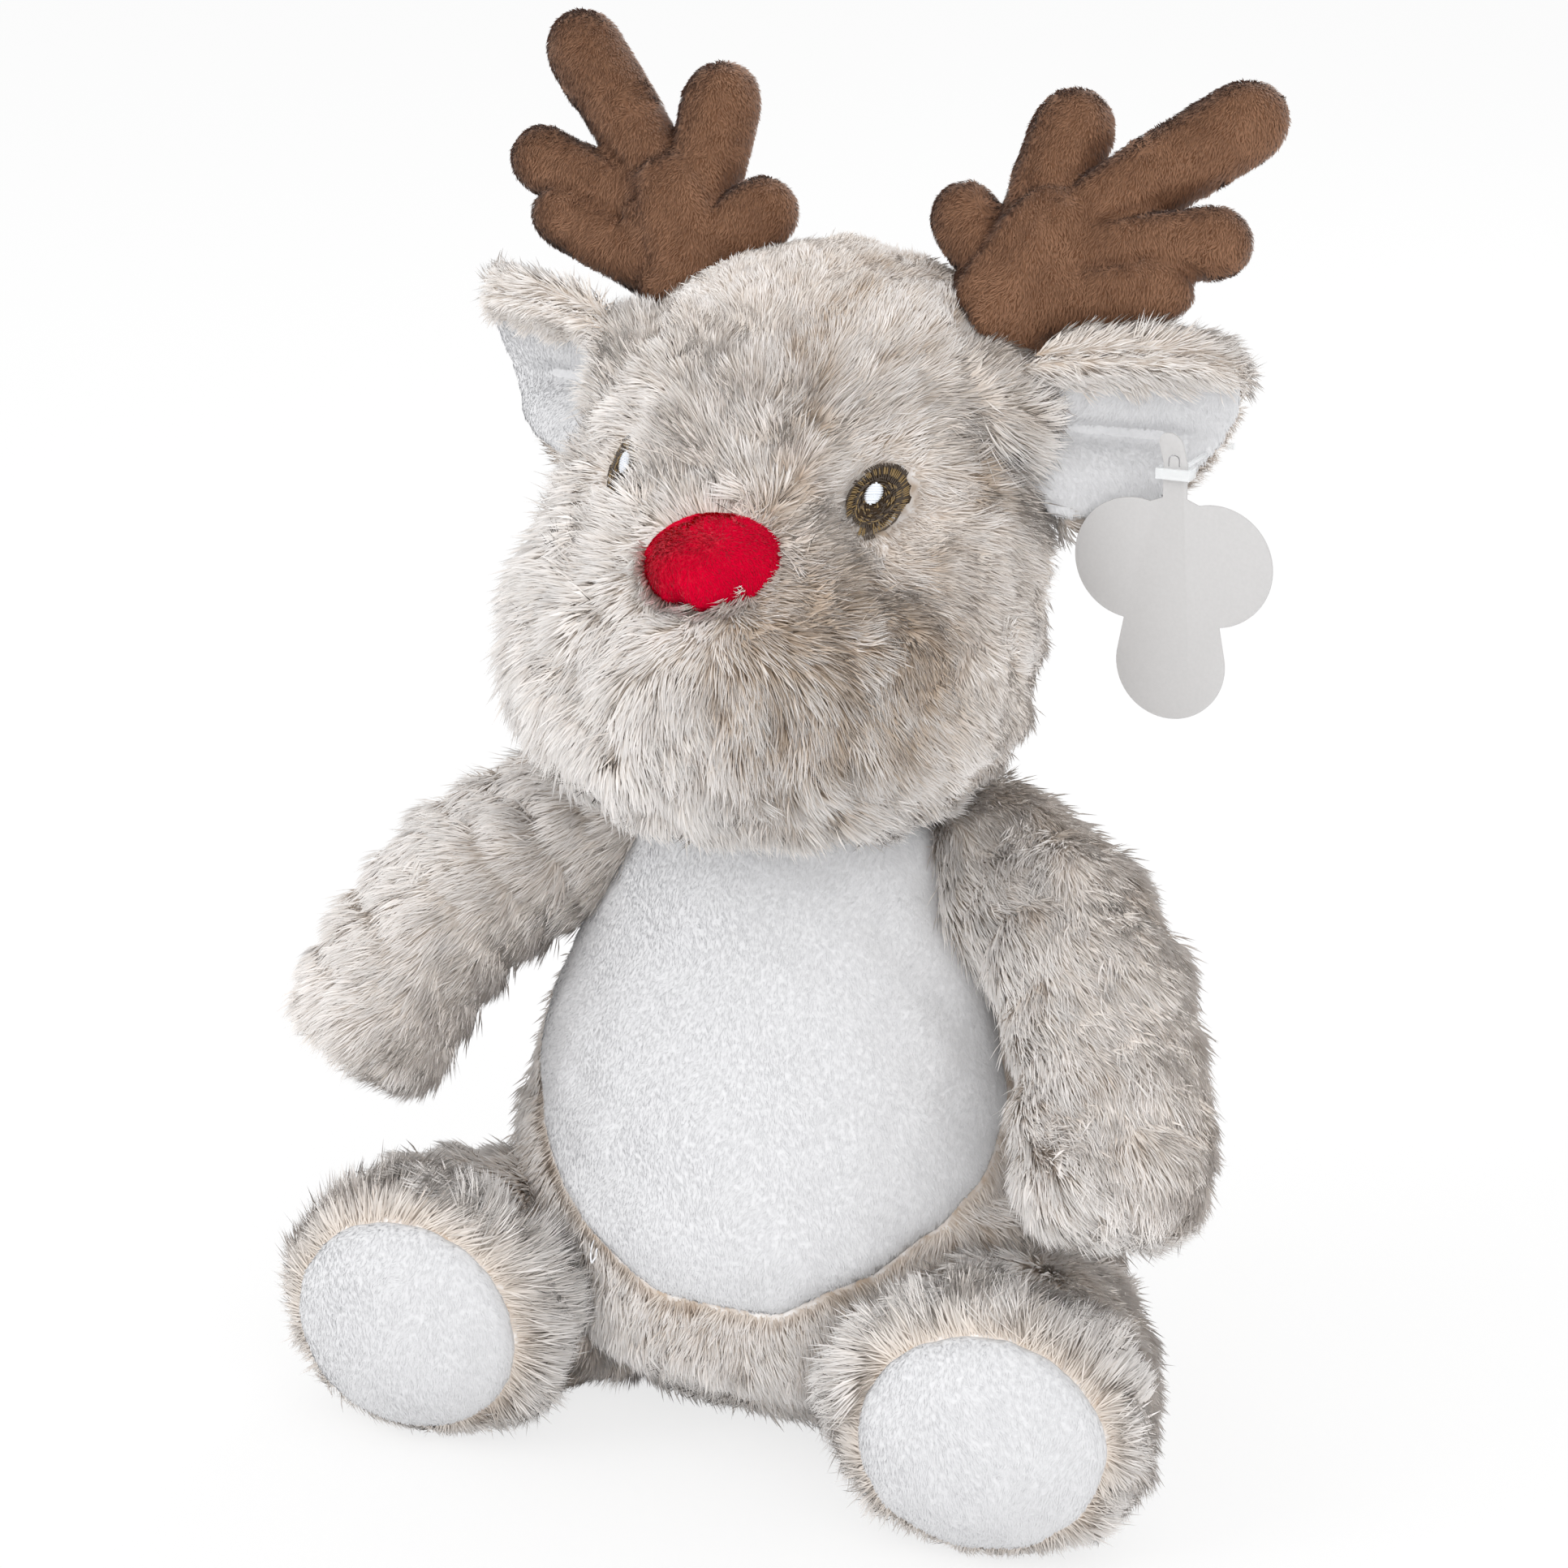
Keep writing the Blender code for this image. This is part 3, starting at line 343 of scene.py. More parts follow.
def read_field(field, corners, shares):
    values = field[corners]
    if values.ndim == 2:
        return (values * shares).sum(axis=1)
    return (values * shares[:, :, None]).sum(axis=1)


def along_surface(ways, normals):
    return unit(ways - normals * (ways * normals).sum(axis=1, keepdims=True))


def strand_points(roots, normals, combs, lengths, rise, fall, droop, share):
    """Points at one share of the way along strands that start steep and bend over."""
    first = unit(normals * np.cos(rise) + combs * np.sin(rise))
    last = unit(normals * np.cos(fall) + combs * np.sin(fall) + DOWN * droop)
    return roots + lengths * (first * (share - share**2 / 2) + last * share**2 / 2)


def nearest_indices(points, centres):
    tree = KDTree(len(centres))
    for k, centre in enumerate(centres.tolist()):
        tree.insert(centre, k)
    tree.balance()
    return np.array([tree.find(p)[1] for p in points.tolist()])


def blade_mesh(name, lines, sides, widths, tones, normals):
    """Tapered strips along lines of points, shaded like the surface that they grow on.

    Their map runs from root to tip, with a column for each tone.
    """
    count, levels = lines.shape[:2]
    turns = np.array([0.0] + [(-1.0) ** k for k in range(1, levels - 1)] + [0.0])
    half = sides * widths[:, :, None] / 2
    wavering = lines + half * turns[:, None]
    places = np.concatenate([(lines - half)[:, :1], (lines + half)[:, :1], wavering[:, 1:]], axis=1)
    places[:, :, 2] = np.maximum(places[:, :, 2], LEAST_HEIGHT)
    verts = levels + 1
    pattern = [0, 1, 2]
    for k in range(1, levels - 1):
        pattern += [k + 1, k, k + 2] if k % 2 else [k, k + 1, k + 2]
    pattern = np.array(pattern)
    mesh = bpy.data.meshes.new(name)
    mesh.vertices.add(count * verts)
    mesh.vertices.foreach_set("co", places.astype(np.float32).ravel())
    mesh.loops.add(count * len(pattern))
    base = np.arange(count)[:, None]
    mesh.loops.foreach_set("vertex_index", (base * verts + pattern).astype(np.int32).ravel())
    mesh.polygons.add(count * (levels - 1))
    mesh.polygons.foreach_set("loop_start", np.arange(count * (levels - 1), dtype=np.int32) * 3)
    along = np.append(0.0, np.arange(levels) / (levels - 1))
    across = np.concatenate([(-0.3, 0.3), 0.3 * turns[1:]])
    map_u = (tones[:, None] + 0.5 + across[pattern]) / TONES
    map_v = np.broadcast_to(0.02 + 0.96 * along[pattern], map_u.shape)
    uvs = np.stack([map_u, map_v], axis=2)
    mesh.uv_layers.new(name=BAKE_MAP).data.foreach_set("uv", uvs.astype(np.float32).ravel())
    mesh.update(calc_edges=True)
    mesh.shade_smooth()
    mesh.normals_split_custom_set_from_vertices(np.repeat(normals, verts, axis=0).astype(np.float32))
    return mesh


class Pile:
    """How one kind of pile grows: sizes in metres, angles from the surface's normal in degrees."""

    def __init__(self, length, width, density, **changes):
        self.length = length
        self.width = width
        self.density = density
        self.tufts = 0.08
        self.levels = 4
        self.rise = 55
        self.fall = 82
        self.droop = 0.06
        self.pull = 0.3
        self.mess = 0.25
        self.spread = 0.06
        self.fuzz = 0.05
        self.gloss = 0.15
        self.turn = 0.25
        self.fringe = 0.10
        for name, value in changes.items():
            setattr(self, name, value)


def grow(name, form, pile, seed, look, lie, scale, tone, gates=(), split=None):
    """Grows pile on a form and returns its pieces; lie, scale, tone and gates are fields on its vertices."""
    rng = np.random.default_rng(seed)
    ground = Ground(form)
    where = ground.scatter(pile.density * 1e6, rng)
    kept = read_field(scale, *where) > 0.05
    for gate in gates:
        kept &= read_field(gate, *where) > 0
    where = (where[0][kept], where[1][kept])
    middle = ground.scatter(pile.tufts * 1e6, rng)
    roots, normals = (read_field(field, *where) for field in (ground.places, ground.normals))
    centres, centre_normals = (read_field(field, *middle) for field in (ground.places, ground.normals))
    normals, centre_normals = unit(normals), unit(centre_normals)
    count = len(roots)
    tuft = nearest_indices(roots, centres)
    lengths = (pile.length * read_field(scale, *middle) * rng.uniform(0.8, 1.15, len(centres)))[:, None]
    swirl = pile.mess * rng.normal(size=(len(centres), 3))
    ways = along_surface(read_field(lie, *middle) + swirl, centre_normals)
    rises = math.radians(pile.rise) + rng.normal(0, pile.spread, (len(centres), 1))
    falls = math.radians(pile.fall) + rng.normal(0, 1.5 * pile.spread, (len(centres), 1))
    own_lengths = (pile.length * read_field(scale, *where) * rng.uniform(0.72, 1.08, count))[:, None]
    own_ways = 0.6 * unit(read_field(lie, *where)) + 0.4 * ways[tuft] + 0.22 * rng.normal(size=(count, 3))
    own_ways = along_surface(own_ways, normals)
    stray = (rng.random((count, 1)) < pile.fuzz) * rng.uniform(0.2, 0.5, (count, 1))
    own_rise = 0.5 * (rises[tuft] + math.radians(pile.rise)) + rng.normal(0, 0.1, (count, 1)) - stray
    own_fall = falls[tuft] + rng.normal(0, 0.12, (count, 1)) - stray
    pull = pile.pull * rng.uniform(0.4, 1.0, (count, 1))
    rows = []
    shares = np.arange(pile.levels) / (pile.levels - 1)
    for share in shares:
        own = strand_points(roots, normals, own_ways, own_lengths, own_rise, own_fall, pile.droop, share)
        shared = strand_points(centres, centre_normals, ways, lengths, rises, falls, pile.droop, share)
        gathered = shared[tuft] + (roots - centres[tuft]) * (1 - 0.7 * share)
        weight = pull * share
        rows.append(own * (1 - weight) + gathered * weight)
    lines = np.stack(rows, axis=1)
    steps = unit(lines[:, 1:] - lines[:, :-1])
    steps = np.concatenate([steps, steps[:, -1:]], axis=1)
    facing = unit(normals + pile.turn * rng.normal(size=(count, 3)))
    sides = unit(np.cross(steps, facing[:, None, :]))
    widths = pile.width * rng.uniform(0.75, 1.2, (count, 1)) * (1 - 0.55 * shares)
    flats = unit(np.cross(sides, steps).mean(axis=1))
    shading = unit(normals + 0.45 * flats + pile.gloss * rng.normal(size=(count, 3)))
    marks = read_field(tone, *where) + rng.normal(0, pile.fringe, count)
    tones = np.floor(np.clip(marks, 0, 0.999) * TONES)
    pieces = []
    groups = {"": np.ones(count, bool)} if split is None else split(roots)
    for word, group in groups.items():
        mesh = blade_mesh(name + word, lines[group], sides[group], widths[group], tones[group], shading[group])
        mesh.materials.append(look)
        pieces.append(add_object(name + word, mesh))
    return pieces


def room_from(places, normals, reach, *nodes):
    """How far each strand's middle stays out of the fillings of other bodies."""
    middles = places + normals * reach
    return np.min([signed_distances(middles, tree_of(node)) for node in nodes], axis=0)


def ramp(values, low, high):
    """0 below low, 1 above high, and smooth between them."""
    share = np.clip((values - low) / (high - low), 0, 1)
    return share * share * (3 - 2 * share)


# Finishes


def new_material(name, colour, roughness, sheen=0.0, specular=0.3):
    look = bpy.data.materials.new(name)
    look.use_nodes = True
    shader = look.node_tree.nodes["Principled BSDF"]
    shader.inputs["Base Color"].default_value = (*colour, 1)
    shader.inputs["Roughness"].default_value = roughness
    shader.inputs["Sheen Weight"].default_value = sheen
    shader.inputs["Sheen Roughness"].default_value = 0.5
    shader.inputs["Specular IOR Level"].default_value = specular
    return look, look.node_tree, shader


def add_ramp(tree, socket, stops):
    ramp = tree.nodes.new("ShaderNodeValToRGB")
    while len(ramp.color_ramp.elements) < len(stops):
        ramp.color_ramp.elements.new(0.5)
    for element, (place, colour) in zip(ramp.color_ramp.elements, stops):
        element.position = place
        element.color = (*colour, 1)
    tree.links.new(socket, ramp.inputs["Fac"])
    return ramp.outputs["Color"]


def pile_material(name, dark, light, roughness=0.8, sheen=0.1, specular=0.15):
    """Colour from root to tip along each strand, between a dark and a light tone."""
    look, tree, shader = new_material(name, light[-1], roughness, sheen, specular)
    uv = tree.nodes.new("ShaderNodeUVMap")
    uv.uv_map = BAKE_MAP
    parts = tree.nodes.new("ShaderNodeSeparateXYZ")
    tree.links.new(uv.outputs["UV"], parts.inputs["Vector"])
    mix = tree.nodes.new("ShaderNodeMix")
    mix.data_type = "RGBA"
    tree.links.new(parts.outputs["X"], mix.inputs["Factor"])
    for socket, colours in (("A", dark), ("B", light)):
        along = add_ramp(tree, parts.outputs["Y"], tuple(zip(np.linspace(0, 0.9, len(colours)), colours)))
        tree.links.new(along, next(s for s in mix.inputs if s.identifier == socket + "_Color"))
    tree.links.new(next(s for s in mix.outputs if s.identifier == "Result_Color"), shader.inputs["Base Color"])
    return look


def cloth_material(name, dark, light, scale, roughness=0.9, sheen=0.2, bump=0.0004):
    """Backing cloth: mottled colour and a fine raised grain."""
    look, tree, shader = new_material(name, light, roughness, sheen, 0.2)
    place = tree.nodes.new("ShaderNodeTexCoord")
    noise = tree.nodes.new("ShaderNodeTexNoise")
    noise.inputs["Scale"].default_value = scale
    noise.inputs["Detail"].default_value = 5
    tree.links.new(place.outputs["Object"], noise.inputs["Vector"])
    colour = add_ramp(tree, noise.outputs["Fac"], ((0.35, dark), (0.65, light)))
    tree.links.new(colour, shader.inputs["Base Color"])
    grain = tree.nodes.new("ShaderNodeBump")
    grain.inputs["Distance"].default_value = bump
    grain.inputs["Strength"].default_value = 0.6
    tree.links.new(noise.outputs["Fac"], grain.inputs["Height"])
    tree.links.new(grain.outputs["Normal"], shader.inputs["Normal"])
    return look


def shade(colour, factor):
    return tuple(min(c * factor, 1) for c in colour)


def fur_looks():
    """The fur's strands and its backing."""
    if "fur strands" in bpy.data.materials:
        return bpy.data.materials["fur strands"], bpy.data.materials["fur backing"]
    fur = bpy.context.scene.deer_fur
    dark = (fur.dark_root, fur.dark_tip, shade(fur.light_tip, 0.85))
    strands = pile_material("fur strands", dark, (fur.light_root, fur.light_tip))
    backing = cloth_material("fur backing", fur.dark_tip, fur.light_tip, 260)
    return strands, backing


def velour_looks():
    """The white pile and its backing."""
    if "white pile" in bpy.data.materials:
        return bpy.data.materials["white pile"], bpy.data.materials["white backing"]
    colour = bpy.context.scene.deer_velour.colour
    # Painted shade: the dark column and the darker roots stand for shade in the white pile.
    dark = (shade(colour, 0.90), shade(colour, 0.96))
    pile = pile_material("white pile", dark, (shade(colour, 0.96), shade(colour, 1.02)), 0.9)
    backing = cloth_material("white backing", shade(colour, 0.94), colour, 900, bump=0.0002)
    return pile, backing


def fur_pile(**changes):
    fur = bpy.context.scene.deer_fur
    pile = Pile(fur.length, fur.width, fur.density, tufts=fur.tufts)
    for name, value in changes.items():
        setattr(pile, name, value)
    return pile


def white_pile():
    velour = bpy.context.scene.deer_velour
    pile = Pile(velour.length, velour.width, velour.density, tufts=0.3, levels=3, rise=64, fall=85)
    pile.pull, pile.mess, pile.spread, pile.turn, pile.fuzz, pile.gloss = 0.2, 0.25, 0.08, 0.08, 0.05, 0.06
    return pile


def swirled(ways, places, strength, seed, drift=0.03):
    """A lie with slow swirls and small partings."""
    return unit(ways) + strength * (wave_vectors(places, drift, seed) + 0.5 * wave_vectors(places, 0.011, seed + 9))


def frosting(places, seed, mean, strength):
    """Tone of the fur, darker in patches where it parts."""
    patches = waves(places, 0.026, seed) + 0.8 * waves(places, 0.010, seed + 5)
    return mean - strength * ramp(patches, 0.1, 2.0)


def front_and_back(depth, *heights):
    """Splits pile at a depth and at heights."""

    def split(roots):
        bands = np.searchsorted(np.array(heights), roots[:, 2]) if heights else np.zeros(len(roots), int)
        groups = {}
        for band in range(len(heights) + 1):
            for word, part in (("front", roots[:, 1] < depth), ("back", roots[:, 1] >= depth)):
                groups[f"_{word}_{band}" if heights else "_" + word] = part & (bands == band)
        return groups

    return split


def dress(pieces, body):
    for piece in pieces:
        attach(piece, body)


def set_form(piece, look, body, slot, fill, *nodes):
    """Gives a stuffed form its look and body, and hides the skin and filling nodes that it stands for."""
    piece.data.materials.clear()
    piece.data.materials.append(look)
    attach(piece, body)
    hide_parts(*nodes)


def grow_white(name, panel, seed, body, gates=()):
    """White pile over a panel, with soft clouds of painted shade in its nap."""
    pile_look, _ = velour_looks()
    places, normals = mesh_arrays(panel.data)
    lie = swirled(DOWN, places, 0.35, seed)
    tone = 0.75 + 0.12 * waves(places, 0.02, seed + 3)
    scale = np.ones(len(places))
    pieces = grow(name, panel, white_pile(), seed, pile_look, lie, scale, tone, gates)
    dress(pieces, body)


THREAD_POINTS = (
    (-0.0305, -0.0600, 0.0570),
    (-0.0298, -0.0632, 0.0555),
    (-0.0292, -0.0640, 0.0528),
    (-0.0280, -0.0638, 0.0548),
    (-0.0276, -0.0642, 0.0572),
)
LIMB_FILLINGS = ("arm_stuffing_left", "arm_stuffing_right", "leg_stuffing_left", "leg_stuffing_right")


class DEER_OT_torso(bpy.types.Operator):
    """Makes the furry torso and its white belly panel"""

    bl_idname = "deer.torso"
    bl_label = "Torso and Belly"

    def execute(self, context):
        strands, backing = fur_looks()
        _, panel_look = velour_looks()
        fur = context.scene.deer_fur
        velour = context.scene.deer_velour
        form = stuffed_form("torso_body", ["torso_stuffing", "pellet_pouch"], fur.voxel, lumps=fur.lumps / 3)
        places, normals = mesh_arrays(form.data)
        waist = 1 - ramp(np.abs(places[:, 2] - 0.11), 0.0, 0.05)
        reach = velour.belly_reach + 0.011 * ramp(-places[:, 0], 0.0, 0.04) * waist
        reach -= 0.006 * ramp(-places[:, 2], -0.08, -0.05)
        depth = edge_depth(places, tree_of("belly_panel"), tree_of("torso_skin")) + reach
        depth = np.where(normals[:, 1] < 0.3, depth, -np.abs(depth))
        panel = panel_of("belly_cloth", form, depth, velour.panel_lift, velour.wall)
        room = room_from(places, normals, 0.005, "head_stuffing", *LIMB_FILLINGS)
        away = unit(places - middle_of("belly_panel")) * (1 - ramp(-depth, 0.004, 0.014))[:, None]
        lie = swirled(DOWN + 0.8 * away, places, 0.3, 21)
        scale = 0.6 + 0.4 * ramp(-depth, 0.0, 0.015)
        tone = frosting(places, 22, 0.78, 0.5)
        split = front_and_back(middle_of("torso_skin")[1], 0.085)
        gates = (-depth - 0.0004, room)
        pieces = grow("torso_fur", form, fur_pile(), 11, strands, lie, scale, tone, gates, split)
        dress(pieces, "torso")
        places, normals = mesh_arrays(panel.data)
        room = room_from(places, normals, 0.001, "head_stuffing", *LIMB_FILLINGS)
        grow_white("belly_pile", panel, 12, "torso", (room, 0.3 - normals[:, 1]))
        set_form(form, backing, "torso", "frosted_fur", 0.7, "torso_skin", "torso_stuffing", "pellet_pouch")
        set_form(panel, panel_look, "torso", "white_velour", 0.7, "belly_panel")
        white, _, _ = new_material("white thread", (0.85, 0.86, 0.88), 0.45, 0.1, 0.5)
        ends = np.array(THREAD_POINTS)
        facing = np.tile(np.array((0.0, -1.0, 0.2)), (len(ends) - 1, 1))
        thread = thread_mesh("loose_thread", ends[:-1], ends[1:], facing, 0.00022, np.zeros(len(ends) - 1), (white,))
        dress([thread], "torso")
        return {"FINISHED"}


class DEER_OT_head(bpy.types.Operator):
    """Makes the furry head"""

    bl_idname = "deer.head"
    bl_label = "Head"

    def execute(self, context):
        strands, backing = fur_looks()
        fur = context.scene.deer_fur
        form = stuffed_form("head_body", ["head_stuffing"], fur.voxel, lumps=fur.lumps)
        places, normals = mesh_arrays(form.data)
        left, right = (middle_of("eye_" + word) for word, _ in SIDES)
        nose = middle_of("nose")
        gaps = [np.linalg.norm(places - eye, axis=1) for eye in (left, right)]
        lift = 0.0008 * (1 - ramp(gaps[1], 0.008, 0.018)) - 0.0012 * (1 - ramp(gaps[0], 0.008, 0.015))
        places = places + normals * lift[:, None]
        for word, _ in SIDES:
            root = joint_place("ear_flop_" + word) + (0, 0.004, 0.010)
            bulge = 1 - ramp(np.linalg.norm(places - root, axis=1), 0.006, 0.020)
            places = places + normals * (0.007 * bulge)[:, None]
        set_places(form.data, places)
        inner_left = np.linalg.norm((places - left) / np.array((0.0060, 0.02, 0.0071)), axis=1) - 1
        inner_right = np.linalg.norm((places - right) / np.array((0.0054, 0.02, 0.0070)), axis=1) - 1
        off_nose = np.linalg.norm((places - nose - (0, 0, 0.0012)) / np.array((0.0122, 0.02, 0.0090)), axis=1) - 1
        crown = ramp(places[:, 2], 0.245, 0.278)
        away = unit(places - nose)
        from_left = unit(places - left) * (1.2 * (1 - ramp(gaps[0], 0.008, 0.016)))[:, None]
        outer_side = ramp(right[0] - places[:, 0], 0.0, 0.004)
        from_right = unit(places - right) * (0.6 * outer_side * (1 - ramp(gaps[1], 0.008, 0.014)))[:, None]
        lie = away + 0.45 * DOWN * (1 - crown)[:, None] + from_left + from_right
        lie = swirled(lie, places, 0.38, 31)
        near_left = 0.34 + 0.66 * ramp(gaps[0], 0.0075, 0.021)
        near_right = 1 - (0.3 + 0.3 * outer_side) * (1 - ramp(gaps[1], 0.0075, 0.014))
        near_nose = 0.6 + 0.4 * ramp(np.linalg.norm(places - nose, axis=1), 0.014, 0.026)
        scale = np.minimum(np.minimum(near_left, near_right), near_nose) * (1.12 - 0.67 * crown)
        scale *= 1 + 0.28 * ramp(-places[:, 0], 0.03, 0.055) - 0.42 * ramp(places[:, 0], 0.03, 0.055)
        for word, side in SIDES:
            from_ear = np.linalg.norm(places - joint_place("ear_flop_" + word), axis=1)
            scale += (0.35 + 0.25 * side) * (1 - ramp(from_ear, 0.014, 0.028))
        # Painted shade: the cheek on the +x side and a patch beside the muzzle are darker, partly taupe partings and
        # partly painted shade of the side away from the key light.
        cheek = ramp(places[:, 0], -0.012, 0.02) * (1 - ramp(places[:, 0], 0.045, 0.06))
        muzzle = 1 - ramp(np.linalg.norm(places - (0.034, -0.066, 0.203), axis=1), 0.014, 0.040)
        tone = frosting(places, 32, 0.87 - 0.16 * cheek - 0.85 * muzzle, 0.15 + 0.55 * cheek - 0.1 * muzzle)
        room = room_from(places, normals, 0.005, "torso_stuffing")
        split = front_and_back(middle_of("head_skin")[1] - 0.008, 0.222)
        gates = (inner_left, inner_right, off_nose, room)
        pieces = grow("head_fur", form, fur_pile(), 13, strands, lie, scale, tone, gates, split)
        dress(pieces, "head")
        set_form(form, backing, "head", "frosted_fur", 0.8, "head_skin", "head_stuffing")
        return {"FINISHED"}


class DEER_OT_arms(bpy.types.Operator):
    """Makes the furry arms"""

    bl_idname = "deer.arms"
    bl_label = "Arms"

    def execute(self, context):
        strands, backing = fur_looks()
        for word, side in SIDES:
            body = "arm_" + word
            fur = context.scene.deer_fur
            form = stuffed_form("arm_body_" + word, ["arm_stuffing_" + word], fur.voxel, 0.001, lumps=fur.lumps)
            places, normals = mesh_arrays(form.data)
            low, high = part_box("arm_skin_" + word)
            hand = np.array((high.x if side > 0 else low.x, low.y, low.z))
            inward = ramp(-side * normals[:, 0], -0.5, 0.8)
            outward = ramp(side * normals[:, 0] - 0.5 * normals[:, 2], 0.0, 0.8)
            near_hand = 1 - ramp(places[:, 2], low.z + 0.01, high.z - 0.02)
            slim, tuck, lift = (0.6, 0.0045, 0.0) if side < 0 else (0.0, -0.0010, 0.006)
            rise = 0.0008 + 0.0040 * inward * (1 - slim * near_hand) - tuck * outward * near_hand
            lifted = np.zeros(places.shape)
            lifted[:, 2] = lift * (1 - ramp(places[:, 2], low.z, low.z + 0.045))
            set_places(form.data, places + normals * rise[:, None] + lifted)
            places, normals = mesh_arrays(form.data)
            lie = swirled(hand - joint_place("shoulder_" + word), places, 0.35, 51)
            room = room_from(places, normals, 0.005, "torso_stuffing", "head_stuffing")
            tone = frosting(places, 53 + side, 0.96, 0.35 + 0.2 * side)
            scale = 1 - (0.25 - 0.1 * side) * outward
            pieces = grow("arm_fur_" + word, form, fur_pile(rise=66, fall=85), 15 + side, strands, lie, scale, tone, (room,))
            dress(pieces, body)
            set_form(form, backing, body, "frosted_fur", 0.7, "arm_skin_" + word, "arm_stuffing_" + word)
        return {"FINISHED"}


class DEER_OT_legs(bpy.types.Operator):
    """Makes the furry legs and their white soles"""

    bl_idname = "deer.legs"
    bl_label = "Legs and Soles"

    def execute(self, context):
        strands, backing = fur_looks()
        _, panel_look = velour_looks()
        velour = context.scene.deer_velour
        fur = context.scene.deer_fur
        for word, side in SIDES:
            body = "leg_" + word
            form = stuffed_form("leg_body_" + word, ["leg_stuffing_" + word], fur.voxel, lumps=fur.lumps / 3)
            places, normals = mesh_arrays(form.data)
            depth = edge_depth(places, tree_of("foot_pad_" + word), tree_of("leg_skin_" + word)) + velour.sole_reach
            pad = panel_of("sole_cloth_" + word, form, depth, velour.panel_lift, velour.wall)
            sole = middle_of("foot_pad_" + word)
            clumps = waves(places, 0.017, 7) + 0.6 * waves(places, 0.009, 8)
            clumps *= fur.lumps * ramp(-depth, 0.003, 0.012) * ramp(places[:, 2], 0.003, 0.012)
            set_places(form.data, places + normals * clumps[:, None])
            places, normals = mesh_arrays(form.data)
            room = room_from(places, normals, 0.005, "torso_stuffing", "pellet_pouch")
            ruff = 1 - ramp(-depth, 0.006, 0.022)
            outward = unit(places - sole) * ruff[:, None]
            forward = (sole - joint_place("hip_" + word)) * (1 - 1.5 * ruff)[:, None]
            lie = swirled(forward + 0.02 * outward + 0.01 * DOWN, places, 0.5, 61 + side)
            inner = ramp(-side * normals[:, 0], 0.2, 0.9)
            collar = 0.4 * ramp(places[:, 2], 0.02, 0.05) + 0.3 * inner
            scale = (0.95 + ruff * collar) * (0.4 + 0.6 * ramp(places[:, 2], 0.002, 0.014))
            parted = ramp(normals[:, 2], 0.3, 0.9) * ramp(-depth, 0.010, 0.022) * (1 - ramp(-depth, 0.035, 0.05))
            # Painted light: the +x leg's fur is lighter and less parted, to lift the shade that falls on its top
            # below the arm.
            mean = 1.02 + 0.05 * side - (0.38 - 0.14 * side) * parted - 0.25 * inner * (1 - ruff)
            tone = frosting(places, 63 + side, mean, 0.35 - 0.1 * side) + 0.2 * ruff
            gates = (0.0005 - depth, room)
            pieces = grow("leg_fur_" + word, form, fur_pile(rise=57, fall=83), 17 + side, strands, lie, scale, tone, gates)
            dress(pieces, body)
            places, normals = mesh_arrays(pad.data)
            grow_white("sole_pile_" + word, pad, 27 + side, body, (0.2 - normals[:, 1],))
            set_form(form, backing, body, "frosted_fur", 0.7, "leg_skin_" + word, "leg_stuffing_" + word)
            set_form(pad, panel_look, body, "white_velour", 0.7, "foot_pad_" + word)
        return {"FINISHED"}


